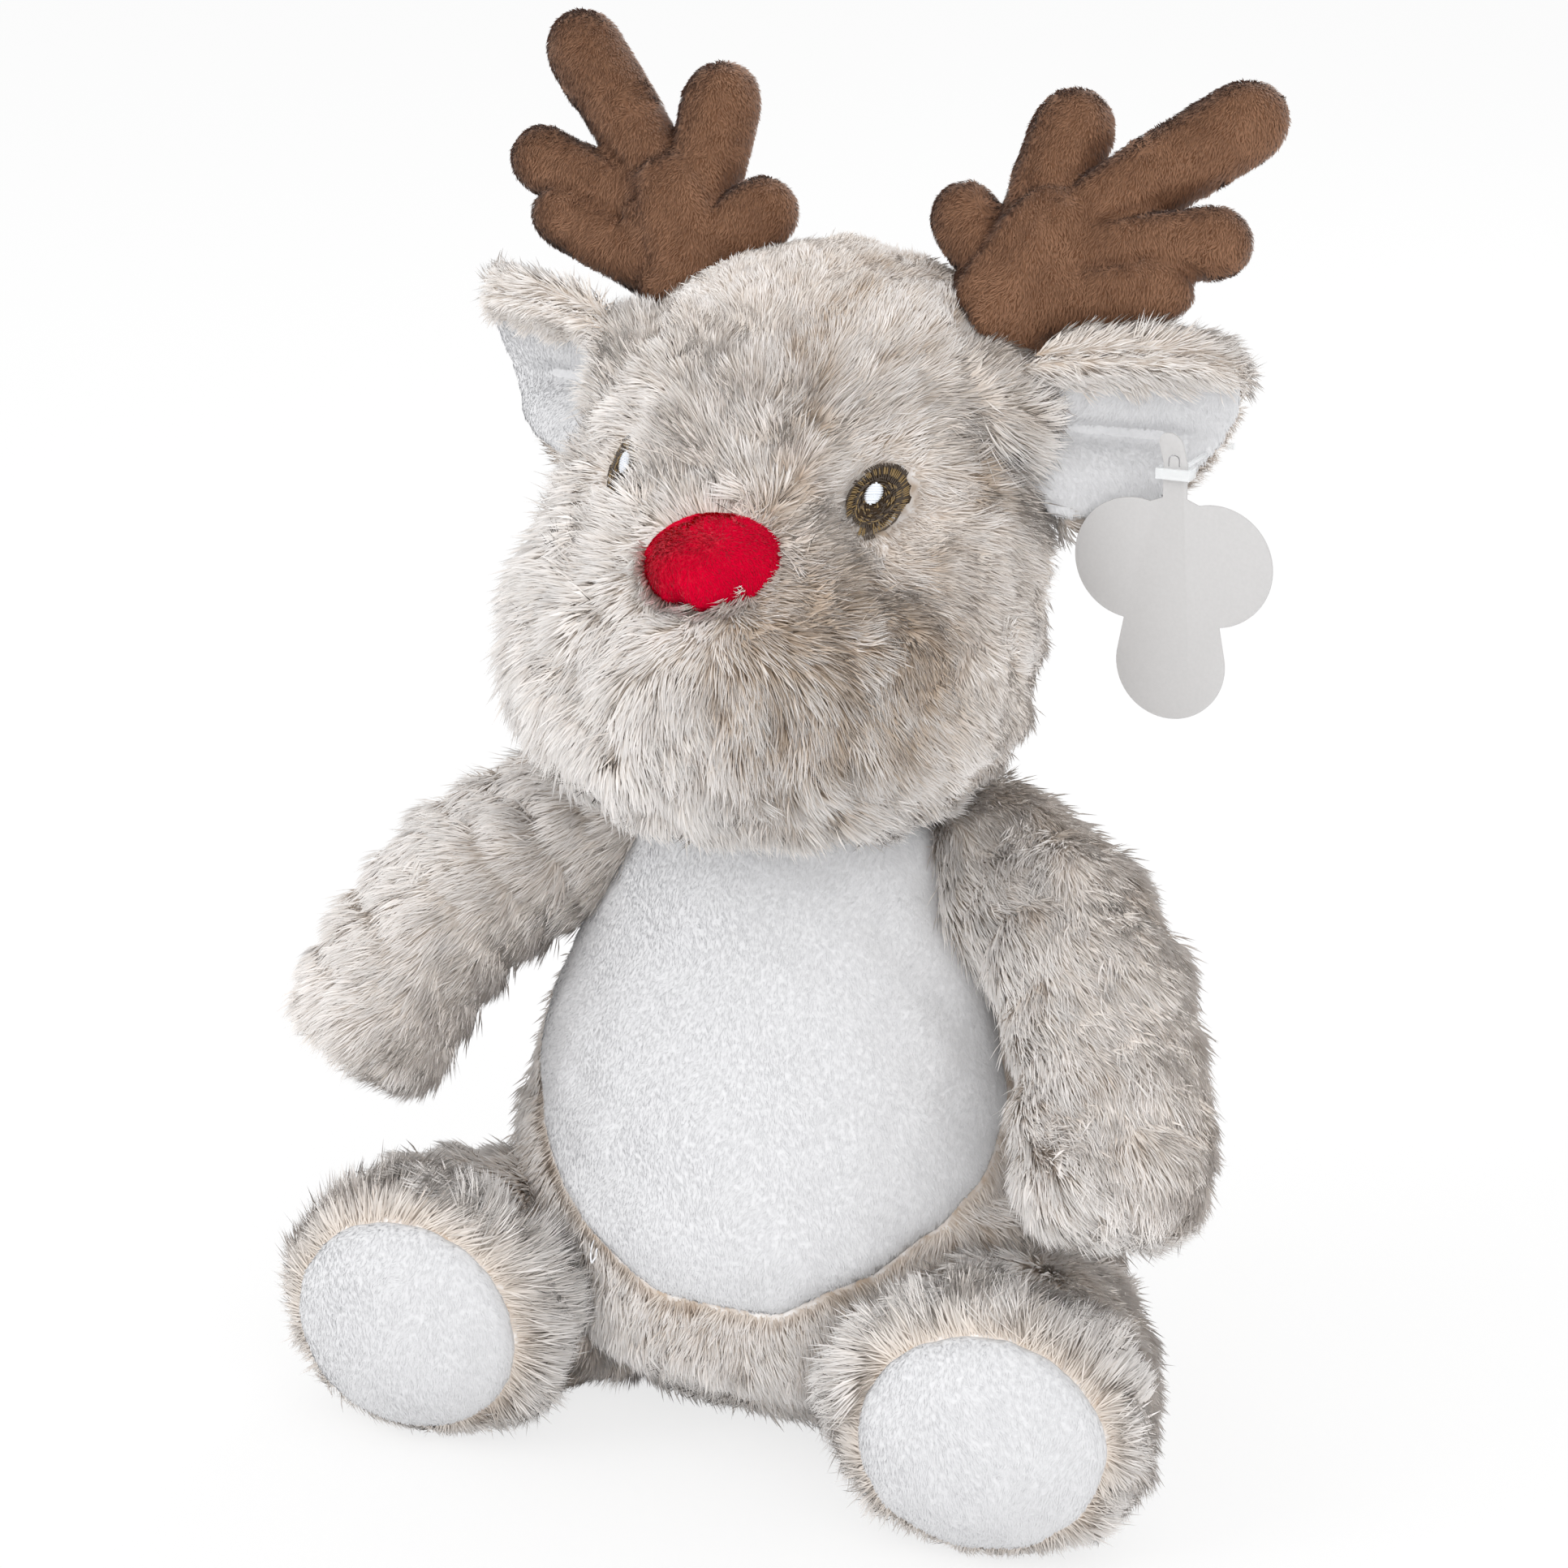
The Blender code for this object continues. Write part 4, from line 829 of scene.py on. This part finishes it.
class DEER_OT_ears(bpy.types.Operator):
    """Makes the ears, furry behind and white inside"""

    bl_idname = "deer.ears"
    bl_label = "Ears"

    def execute(self, context):
        strands, backing = fur_looks()
        _, panel_look = velour_looks()
        for word, side in SIDES:
            body = "ear_" + word
            back = stuffed_form("ear_fold_" + word, ["ear_back_" + word], 0.0012, 0, 12)
            lining = stuffed_form("ear_inner_" + word, ["ear_lining_" + word], 0.0010, 0, 14)
            lining_tree = tree_of("ear_lining_" + word)
            back_tree = tree_of("ear_back_" + word)
            low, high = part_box("ear_lining_" + word)
            seam = high.z - 0.24 * (high.z - low.z)
            hinge = joint_place("ear_flop_" + word)
            along = unit(middle_of("ear_back_" + word) - hinge)
            for piece in (back, lining):
                places, _ = mesh_arrays(piece.data)
                root = 1 - ramp(np.linalg.norm(places - hinge, axis=1), 0.006, 0.022)
                set_places(piece.data, places - along * (0.008 * root)[:, None])
            places, normals = mesh_arrays(back.data)
            covered = signed_distances(places + normals * 0.001, lining_tree) - 0.0003
            room = room_from(places, normals, 0.003, "head_stuffing")
            out = ramp(np.linalg.norm(places - hinge, axis=1), 0.004, 0.018)
            lie = swirled(along * (2 * out[:, None] - 1), places, 0.3, 71)
            tone = frosting(places, 73 + side, 0.9, 0.5)
            far = ramp(side * places[:, 0], 0.07, 0.09)
            scale = 0.8 - 0.4 * far * (1 - ramp(places[:, 2], seam - 0.004, seam + 0.002))
            pile = fur_pile(tufts=0.12)
            pieces = grow("ear_fur_" + word, back, pile, 19 + side, strands, lie, scale, tone, (covered, room))

            places, normals = mesh_arrays(lining.data)
            reach = side * (places[:, 0] - hinge[0]) / (high.x - low.x)
            fold = places[:, 2] - (low.z + high.z) / 2 + 0.004 * reach
            swell = 0.0030 * np.exp(-(((fold + 0.009) / 0.006) ** 2)) - 0.0034 * np.exp(-((fold / 0.0026) ** 2))
            swell *= ramp(-normals[:, 1], 0.2, 0.6) * (1 - ramp(reach, 0.5, 0.85))
            set_places(lining.data, places + normals * swell[:, None])
            places, normals = mesh_arrays(lining.data)
            shown = signed_distances(places + normals * 0.001, back_tree) - 0.0003
            above = places[:, 2] - seam - 0.002 * waves(places, 0.012, 75)
            lie = swirled(along + 0.35 * DOWN, places, 0.3, 76)
            scale = np.full(len(places), 0.6)
            tone = frosting(places, 77, 0.95, 0.4)
            gates = (shown, above)
            pieces += grow("ear_brim_" + word, lining, pile, 25 + side, strands, lie, scale, tone, gates)
            dress(pieces, body)
            grow_white("ear_pile_" + word, lining, 29 + side, body, (shown, 0.002 - above))
            set_form(back, backing, body, "frosted_fur", 0.3, "ear_back_" + word)
            set_form(lining, panel_look, body, "white_velour", 0.3, "ear_lining_" + word)
            lining.data.materials.append(backing)
            for face in lining.data.polygons:
                face.material_index = int(above[face.vertices[0]] > 0)
        return {"FINISHED"}


class DEER_OT_antlers(bpy.types.Operator):
    """Makes the brown velour antlers"""

    bl_idname = "deer.antlers"
    bl_label = "Antlers"

    def execute(self, context):
        antler = context.scene.deer_antler
        dark = (shade(antler.dark, 0.8), shade(antler.dark, 1.3))
        look = pile_material("brown pile", dark, (shade(antler.light, 0.6), antler.light), 0.6, 0.2, 0.25)
        backing = cloth_material("brown backing", antler.dark, shade(antler.light, 0.6), 300)
        pile = Pile(antler.length, antler.width, antler.density, tufts=0.25, levels=3, rise=48, fall=80, turn=0.12)
        pile.pull, pile.mess, pile.fringe = 0.2, 0.3, 0.08
        for word, side in SIDES:
            body = "antler_" + word
            form = stuffed_form("antler_body_" + word, ["antler_stuffing_" + word], antler.voxel, antler.swell, 5)
            places, normals = mesh_arrays(form.data)
            reach = 0.0045
            crease = 1 - distances(places + normals * reach, tree_of("antler_skin_" + word)) / reach
            crease = ramp(crease, 0.15, 0.6)
            set_places(form.data, places - normals * (0.0006 * crease)[:, None])
            places, normals = mesh_arrays(form.data)
            room = room_from(places, normals, 0.001, "head_stuffing")
            lie = swirled(np.array((0, -0.3, -1)), places, 0.4, 83, 0.02)
            # Painted sheen and shade: the waves make the nap lighter and darker in patches, and the creases are
            # painted darker.
            tone = 0.70 + 0.2 * waves(places, 0.022, 81) + 0.1 * waves(places, 0.007, 82) - 0.5 * crease
            scale = np.ones(len(places))
            pieces = grow("antler_pile_" + word, form, pile, 23 + side, look, lie, scale, tone, (room,))
            dress(pieces, body)
            set_form(form, backing, body, "brown_velour", 0.8, "antler_skin_" + word, "antler_stuffing_" + word)
        return {"FINISHED"}


class DEER_OT_nose(bpy.types.Operator):
    """Makes the red nose, a stuffed dome with a soft crease"""

    bl_idname = "deer.nose"
    bl_label = "Nose"

    def execute(self, context):
        face = context.scene.deer_face
        low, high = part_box("nose")
        width, height = high.x - low.x, high.z - low.z
        depth = 2 * (high.y - low.y)
        centre = np.array(((low.x + high.x) / 2, low.y + depth / 2, (low.z + high.z) / 2))
        bpy.ops.object.select_all(action="DESELECT")
        bpy.ops.mesh.primitive_uv_sphere_add(segments=64, ring_count=40, radius=1)
        nose = bpy.context.object
        nose.name = "nose_body"
        places, _ = mesh_arrays(nose.data)
        crease = np.exp(-(((places[:, 0] + 0.12) / 0.10) ** 2)) * ramp(-places[:, 2], -0.35, 0.6) * (places[:, 1] < 0)
        places = places * (1 - 0.09 * crease[:, None])
        places = places * np.array((width / 2, depth / 2, height / 2)) + centre
        set_places(nose.data, places)
        nose.data.shade_smooth()
        dark = (shade(face.red, 0.6), shade(face.red, 0.75))
        look = pile_material("red pile", dark, (shade(face.red, 0.8), face.red), 0.9, 0.0, 0.05)
        backing = cloth_material("red backing", shade(face.red, 0.5), shade(face.red, 0.8), 400)
        pile = Pile(face.nose_length, 0.00028, 9.0, tufts=0.6, levels=3, rise=45, fall=78, turn=0.12, pull=0.3)
        places, normals = mesh_arrays(nose.data)
        lie = swirled(DOWN, places, 0.5, 92, 0.015)
        tone = 0.72 + 0.2 * waves(places, 0.012, 91)
        scale = np.ones(len(places))
        pieces = grow("nose_pile", nose, pile, 33, look, lie, scale, tone, (centre[1] + 0.004 - places[:, 1],))
        dress(pieces, "head")
        across, up = (places[:, 0] - centre[0]) / (width / 2), (places[:, 2] - centre[2]) / (height / 2)
        rim = np.hypot(across, up) - 0.68 - 0.12 * waves(places, 0.006, 93)
        low_side = -0.05 - up - 0.3 * across - 0.25 * waves(places, 0.012, 94)
        lie = swirled(centre + (0, -depth, 0) - places, places, 0.3, 95)
        pile = fur_pile(density=3.2, length=0.0068, tufts=0.12, rise=40, fall=76)
        tone = np.full(len(places), 0.9)
        pieces = grow("nose_wisps", nose, pile, 35, fur_looks()[0], lie, scale, tone, (rim, low_side, centre[1] - places[:, 1]))
        dress(pieces, "head")
        set_form(nose, backing, "head", "red_velour", 0.9, "nose")
        return {"FINISHED"}


def thread_mesh(name, starts, ends, rise, radius, material_indices, looks):
    """Stitches: four-sided threads that arch from start to end."""
    shares = np.array((0.0, 0.15, 0.5, 0.85, 1.0))
    girths = np.array((0.35, 0.9, 1.0, 0.9, 0.35)) * radius
    ways = unit(ends - starts)
    ups = along_surface(rise, ways)
    sides = np.cross(ways, ups)
    centres = starts[:, None] + (ends - starts)[:, None] * shares[:, None]
    centres = centres + ups[:, None] * (np.sin(shares * math.pi) * radius * 1.2)[:, None]
    turns = np.arange(4) * math.pi / 2
    rings = centres[:, :, None] + (
        sides[:, None, None] * np.cos(turns)[:, None] + ups[:, None, None] * np.sin(turns)[:, None]
    ) * girths[:, None, None]
    count = len(starts)
    verts = rings.reshape(-1, 3)
    faces = []
    for n in range(count):
        base = n * 20
        for level in range(4):
            for k in range(4):
                a, b = base + level * 4 + k, base + level * 4 + (k + 1) % 4
                faces.append((a, b, b + 4, a + 4))
        faces.append(tuple(base + k for k in (3, 2, 1, 0)))
        faces.append(tuple(base + 16 + k for k in range(4)))
    mesh = bpy.data.meshes.new(name)
    mesh.from_pydata(verts.tolist(), [], faces)
    for look in looks:
        mesh.materials.append(look)
    mesh.polygons.foreach_set("material_index", np.repeat(material_indices, 18).astype(np.int32))
    mesh.shade_smooth()
    mesh.update()
    return add_object(name, mesh)


EYE_RINGS = (
    (0.55, 0.72, 60, 0.15, 0.00008),
    (0.68, 0.90, 90, 0.75, 0.00004),
    (0.86, 1.0, 130, 0.0, 0.0),
)


def ellipse_on_face(centre, half_width, half_height, share, angle, tree):
    """A point of the eye's ellipse, on the front of its solid."""
    x = centre[0] + half_width * share * np.cos(angle)
    z = centre[2] + half_height * share * np.sin(angle)
    points, normals = [], []
    for px, pz in zip(np.ravel(x), np.ravel(z)):
        place, normal, _, _ = tree.ray_cast((px, centre[1] - 0.05, pz), (0, 1, 0))
        if place is None:
            place, normal, _, _ = tree.find_nearest((px, centre[1] - 0.002, pz))
        points.append(place)
        normals.append(normal)
    return np.array(points), np.array(normals)


class DEER_OT_eyes(bpy.types.Operator):
    """Makes the embroidered eyes, stitch by stitch"""

    bl_idname = "deer.eyes"
    bl_label = "Eyes"

    def execute(self, context):
        face = context.scene.deer_face
        dark, _, _ = new_material("dark thread", face.dark_thread, 0.42, 0.1, 0.6)
        gold, _, _ = new_material("gold thread", face.gold_thread, 0.38, 0.1, 0.7)
        white, _, _ = new_material("white thread", (0.85, 0.88, 0.93), 0.45, 0.1, 0.5)
        ground = cloth_material("eye ground", shade(face.dark_thread, 0.6), face.dark_thread, 900)
        for word, side in SIDES:
            node = "eye_" + word
            tree = tree_of(node)
            low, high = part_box(node)
            centre = np.array((low + high) / 2)
            half_width, half_height = (high.x - low.x) / 2, 0.93 * (high.z - low.z) / 2
            patch = stuffed_form("eye_patch_" + word, [node], 0.0006, 0, 3)
            places, _ = mesh_arrays(patch.data)
            places[:, 2] += 0.07 * (centre[2] - places[:, 2])
            set_places(patch.data, places)
            rng = np.random.default_rng(100 + side)
            shape = (centre, half_width, half_height)
            starts, ends, ways, kinds = [], [], [], []

            def stitch(share_a, angle_a, share_b, angle_b, kind, lift=0.0):
                a, normal = ellipse_on_face(*shape, share_a, angle_a, tree)
                b, _ = ellipse_on_face(*shape, share_b, angle_b, tree)
                starts.append(a + normal * lift)
                ends.append(b + normal * lift)
                ways.append(normal)
                kinds.append(np.full(len(a), kind))

            for inner, outer, count, gold_share, lift in EYE_RINGS:
                around = np.linspace(0, 2 * math.pi, count, endpoint=False) + rng.normal(0, 0.01, count)
                kinds_here = (rng.random(count) < gold_share).astype(int)
                for kind in set(kinds_here.tolist()):
                    turn = around[kinds_here == kind]
                    stitch(np.full(len(turn), inner), turn, np.full(len(turn), outer), turn + 0.08, kind, lift)
            turn = rng.uniform(0, 2 * math.pi, 230)
            near = np.sqrt(rng.uniform(0, 0.36, 230))
            fleck = rng.random(230) < 0.3
            for kind, group in ((0, ~fleck), (1, fleck)):
                stitch(near[group], turn[group], near[group] * 1.02, turn[group] + 0.3, kind, 0.00012)
            piece = thread_mesh(
                "eye_thread_" + word,
                np.concatenate(starts),
                np.concatenate(ends),
                np.concatenate(ways),
                face.thread_radius,
                np.concatenate(kinds),
                (dark, gold),
            )
            rows = np.linspace(-1, 1, 15)
            reach = np.sqrt(1 - rows**2 * 0.98)
            light = (centre + np.array((-0.0008, 0, 0.0013)), 0.0018, 0.0021)
            sharing = np.hypot(reach, rows)
            right, normal = ellipse_on_face(*light, sharing, np.arctan2(rows, reach), tree)
            left, _ = ellipse_on_face(*light, sharing, np.arctan2(rows, -reach), tree)
            glint = thread_mesh(
                "eye_light_" + word,
                left + normal * 0.0004,
                right + normal * 0.0004,
                normal,
                face.thread_radius * 1.2,
                np.zeros(len(rows)),
                (white,),
            )
            for item in (piece, glint):
                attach(item, "head")
            patch.data.materials.append(ground)
            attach(patch, "head")
            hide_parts(node)
        return {"FINISHED"}


def arc(x, z, radius, start, stop, steps=36):
    angles = np.radians(np.linspace(start, stop, steps + 1))
    return list(zip(x + radius * np.cos(angles), z + radius * np.sin(angles)))


def tag_outline(width, neck):
    """The card's outline below the top of its tongue: three lobes on a neck."""
    lobe = 0.30 * width
    half = neck / 2
    root = -0.0148
    left = arc(lobe - width / 2, root - 1.05 * lobe, lobe, 75, 262)
    lower = arc(0, -0.066 + 0.92 * lobe, 0.92 * lobe, 168, 372)
    right = [(-x, z) for x, z in reversed(left)]
    tongue = [(x - 0.25 * max(z + 0.007, 0), z) for x, z in arc(0, -half, half, 0, 180, 24)]
    return [(-half, -0.007), (-half, root)] + left + lower + right + [(half, root), (half, -0.007)] + tongue


def slot_cutter(place, width):
    """A thin arch, as deep as the card and more."""
    reach = 0.0011
    inner = [(-reach, -0.0014)] + arc(0, 0, reach, 180, 0, 12) + [(reach, -0.0014)]
    outer = [(x * (1 + width / reach), z * (1 + width / reach) if z > 0 else z) for x, z in inner]
    verts = [tuple(place + Vector((x, y, z))) for y in (-0.002, 0.002) for x, z in inner + outer]
    size = len(inner)
    faces = []
    for k in range(size - 1):
        a, b, c, d = k, k + 1, k + 1 + size, k + size
        far = 2 * size
        faces += [(a, b, c, d), (a + far, d + far, c + far, b + far)]
        faces += [(a, a + far, b + far, b), (d, c, c + far, d + far)]
    for k in (0, size - 1):
        faces.append((k, k + size, k + 3 * size, k + 2 * size))
    mesh = bpy.data.meshes.new("slot")
    mesh.from_pydata(verts, [], faces)
    slot = add_object("slot", mesh)
    shape = bmesh.new()
    shape.from_mesh(mesh)
    bmesh.ops.recalc_face_normals(shape, faces=shape.faces)
    shape.to_mesh(mesh)
    shape.free()
    return slot


class DEER_OT_tag(bpy.types.Operator):
    """Makes the blank card tag and finishes its clear fastener"""

    bl_idname = "deer.tag"
    bl_label = "Tag"

    def execute(self, context):
        tag = context.scene.deer_tag
        card, tree, shader = new_material("card", tag.card, 0.6, 0, 0.3)
        place = tree.nodes.new("ShaderNodeTexCoord")
        noise = tree.nodes.new("ShaderNodeTexNoise")
        noise.inputs["Scale"].default_value = 1400
        tree.links.new(place.outputs["Object"], noise.inputs["Vector"])
        colour = add_ramp(tree, noise.outputs["Fac"], ((0.3, shade(tag.card, 0.96)), (0.7, tag.card)))
        tree.links.new(colour, shader.inputs["Base Color"])
        piece = add_object("tag_card", bpy.data.meshes.new("tag_card"))
        low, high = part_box("swing_tag")
        points = tag_outline(high.x - low.x, tag.neck)
        verts = [((low.x + high.x) / 2 + x, low.y, high.z + z) for x, z in points]
        piece.data.from_pydata(verts, [], [range(len(verts))])
        active(piece)
        bpy.ops.object.mode_set(mode="EDIT")
        bpy.ops.mesh.select_all(action="SELECT")
        bpy.ops.mesh.extrude_region_move(TRANSFORM_OT_translate={"value": (0, high.y - low.y, 0)})
        bpy.ops.mesh.select_all(action="SELECT")
        bpy.ops.mesh.normals_make_consistent(inside=False)
        bpy.ops.object.mode_set(mode="OBJECT")
        slot = slot_cutter(Vector(((low.x + high.x) / 2 - 0.0003, (low.y + high.y) / 2, high.z - 0.0062)), tag.slot)
        cut = piece.modifiers.new("Slot", "BOOLEAN")
        cut.object = slot
        cut.solver = "EXACT"
        rim = piece.modifiers.new("Rim", "BEVEL")
        rim.width = tag.rim
        rim.segments = 2
        rim.limit_method = "ANGLE"
        apply_all(piece)
        bpy.data.objects.remove(slot)
        piece.data.materials.append(card)
        bpy.ops.object.shade_smooth_by_angle(angle=math.radians(40))
        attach(piece, "tag")
        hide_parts("swing_tag")
        clear, _, shader = new_material("clear plastic", (0.93, 0.95, 0.96), 0.12, 0, 0.5)
        shader.inputs["Alpha"].default_value = 0.45
        band = frame["nodes"]["tag_fastener"]
        band.data.materials.clear()
        band.data.materials.append(clear)
        return {"FINISHED"}


class DEER_OT_stage(bpy.types.Operator):
    """Sets the floor, backdrop, lamps and camera"""

    bl_idname = "deer.stage"
    bl_label = "Stage"

    def execute(self, context):
        stage = context.scene.deer_stage
        bpy.ops.object.select_all(action="DESELECT")
        bpy.ops.mesh.primitive_plane_add(size=6, location=(0, 0, 0))
        floor = bpy.context.object
        floor.name = "floor"
        look, tree, shader = new_material("floor", (0.9, 0.9, 0.9), 0.9, 0, 0.0)
        output = tree.nodes["Material Output"]
        path = tree.nodes.new("ShaderNodeLightPath")
        white = tree.nodes.new("ShaderNodeEmission")
        mix = tree.nodes.new("ShaderNodeMixShader")
        share = tree.nodes.new("ShaderNodeMath")
        share.operation = "MULTIPLY"
        share.inputs[1].default_value = 0.78
        tree.links.new(path.outputs["Is Camera Ray"], share.inputs[0])
        tree.links.new(share.outputs[0], mix.inputs["Fac"])
        tree.links.new(shader.outputs["BSDF"], mix.inputs[1])
        tree.links.new(white.outputs["Emission"], mix.inputs[2])
        tree.links.new(mix.outputs["Shader"], output.inputs["Surface"])
        floor.data.materials.append(look)

        world = bpy.data.worlds.new("studio")
        context.scene.world = world
        world.use_nodes = True
        nodes, links = world.node_tree.nodes, world.node_tree.links
        path = nodes.new("ShaderNodeLightPath")
        seen = nodes.new("ShaderNodeMath")
        seen.operation = "MAXIMUM"
        links.new(path.outputs["Is Camera Ray"], seen.inputs[0])
        links.new(path.outputs["Is Glossy Ray"], seen.inputs[1])
        backdrop = nodes.new("ShaderNodeBackground")
        backdrop.inputs["Color"].default_value = (1, 1, 1, 1)
        plain = nodes["Background"]
        plain.inputs["Color"].default_value = (1, 1, 1, 1)
        plain.inputs["Strength"].default_value = 0.92
        mix = nodes.new("ShaderNodeMixShader")
        links.new(seen.outputs[0], mix.inputs["Fac"])
        links.new(plain.outputs["Background"], mix.inputs[1])
        links.new(backdrop.outputs["Background"], mix.inputs[2])
        links.new(mix.outputs["Shader"], nodes["World Output"].inputs["Surface"])

        target = Vector(stage.target)
        lamps = (
            ("key", (-1.0, -1.2, 1.2), 9.5, 1.1),
            ("fill", (1.1, -1.2, 0.8), 8.5, 1.3),
            ("rim", (0.3, 1.3, 1.3), 5, 0.9),
        )
        for name, place, power, size in lamps:
            bpy.ops.object.select_all(action="DESELECT")
            bpy.ops.object.light_add(type="AREA", location=place)
            lamp = bpy.context.object
            lamp.name = name
            lamp.data.energy = power
            lamp.data.size = size
            lamp.rotation_euler = (target - Vector(place)).to_track_quat("-Z", "Y").to_euler()

        back = Vector(
            (
                math.sin(stage.azimuth) * math.cos(stage.elevation),
                -math.cos(stage.azimuth) * math.cos(stage.elevation),
                math.sin(stage.elevation),
            )
        )
        bpy.ops.object.camera_add(location=target + back * stage.distance)
        camera = bpy.context.object
        camera.rotation_euler = (-back).to_track_quat("-Z", "Y").to_euler()
        camera.data.lens = stage.lens
        camera.data.sensor_width = 36
        camera.data.clip_start = 0.01
        context.scene.camera = camera
        context.scene.view_settings.view_transform = "Standard"
        return {"FINISHED"}


OPERATORS = (
    DEER_OT_stage,
    DEER_OT_torso,
    DEER_OT_head,
    DEER_OT_arms,
    DEER_OT_legs,
    DEER_OT_ears,
    DEER_OT_antlers,
    DEER_OT_nose,
    DEER_OT_eyes,
    DEER_OT_tag,
)


class DEER_PT_pieces(bpy.types.Panel):
    """Lists the pieces and their settings"""

    bl_label = "Plush Deer"
    bl_idname = "DEER_PT_pieces"
    bl_space_type = "VIEW_3D"
    bl_region_type = "UI"
    bl_category = "Plush Deer"

    def draw(self, context):
        for operator in OPERATORS:
            self.layout.operator(operator.bl_idname)
        for name, group in SETTINGS.items():
            box = self.layout.box()
            for key in group.__annotations__:
                box.prop(getattr(context.scene, name), key)


def register():
    for group in SETTINGS.values():
        bpy.utils.register_class(group)
    for operator in OPERATORS:
        bpy.utils.register_class(operator)
    bpy.utils.register_class(DEER_PT_pieces)
    for name, group in SETTINGS.items():
        setattr(bpy.types.Scene, name, PointerProperty(type=group))


def unregister():
    for name in SETTINGS:
        delattr(bpy.types.Scene, name)
    bpy.utils.unregister_class(DEER_PT_pieces)
    for operator in reversed(OPERATORS):
        bpy.utils.unregister_class(operator)
    for group in reversed(list(SETTINGS.values())):
        bpy.utils.unregister_class(group)


def main():
    register()
    for operator in OPERATORS:
        area, word = operator.bl_idname.split(".")
        getattr(getattr(bpy.ops, area), word)()


if __name__ == "__main__":
    main()
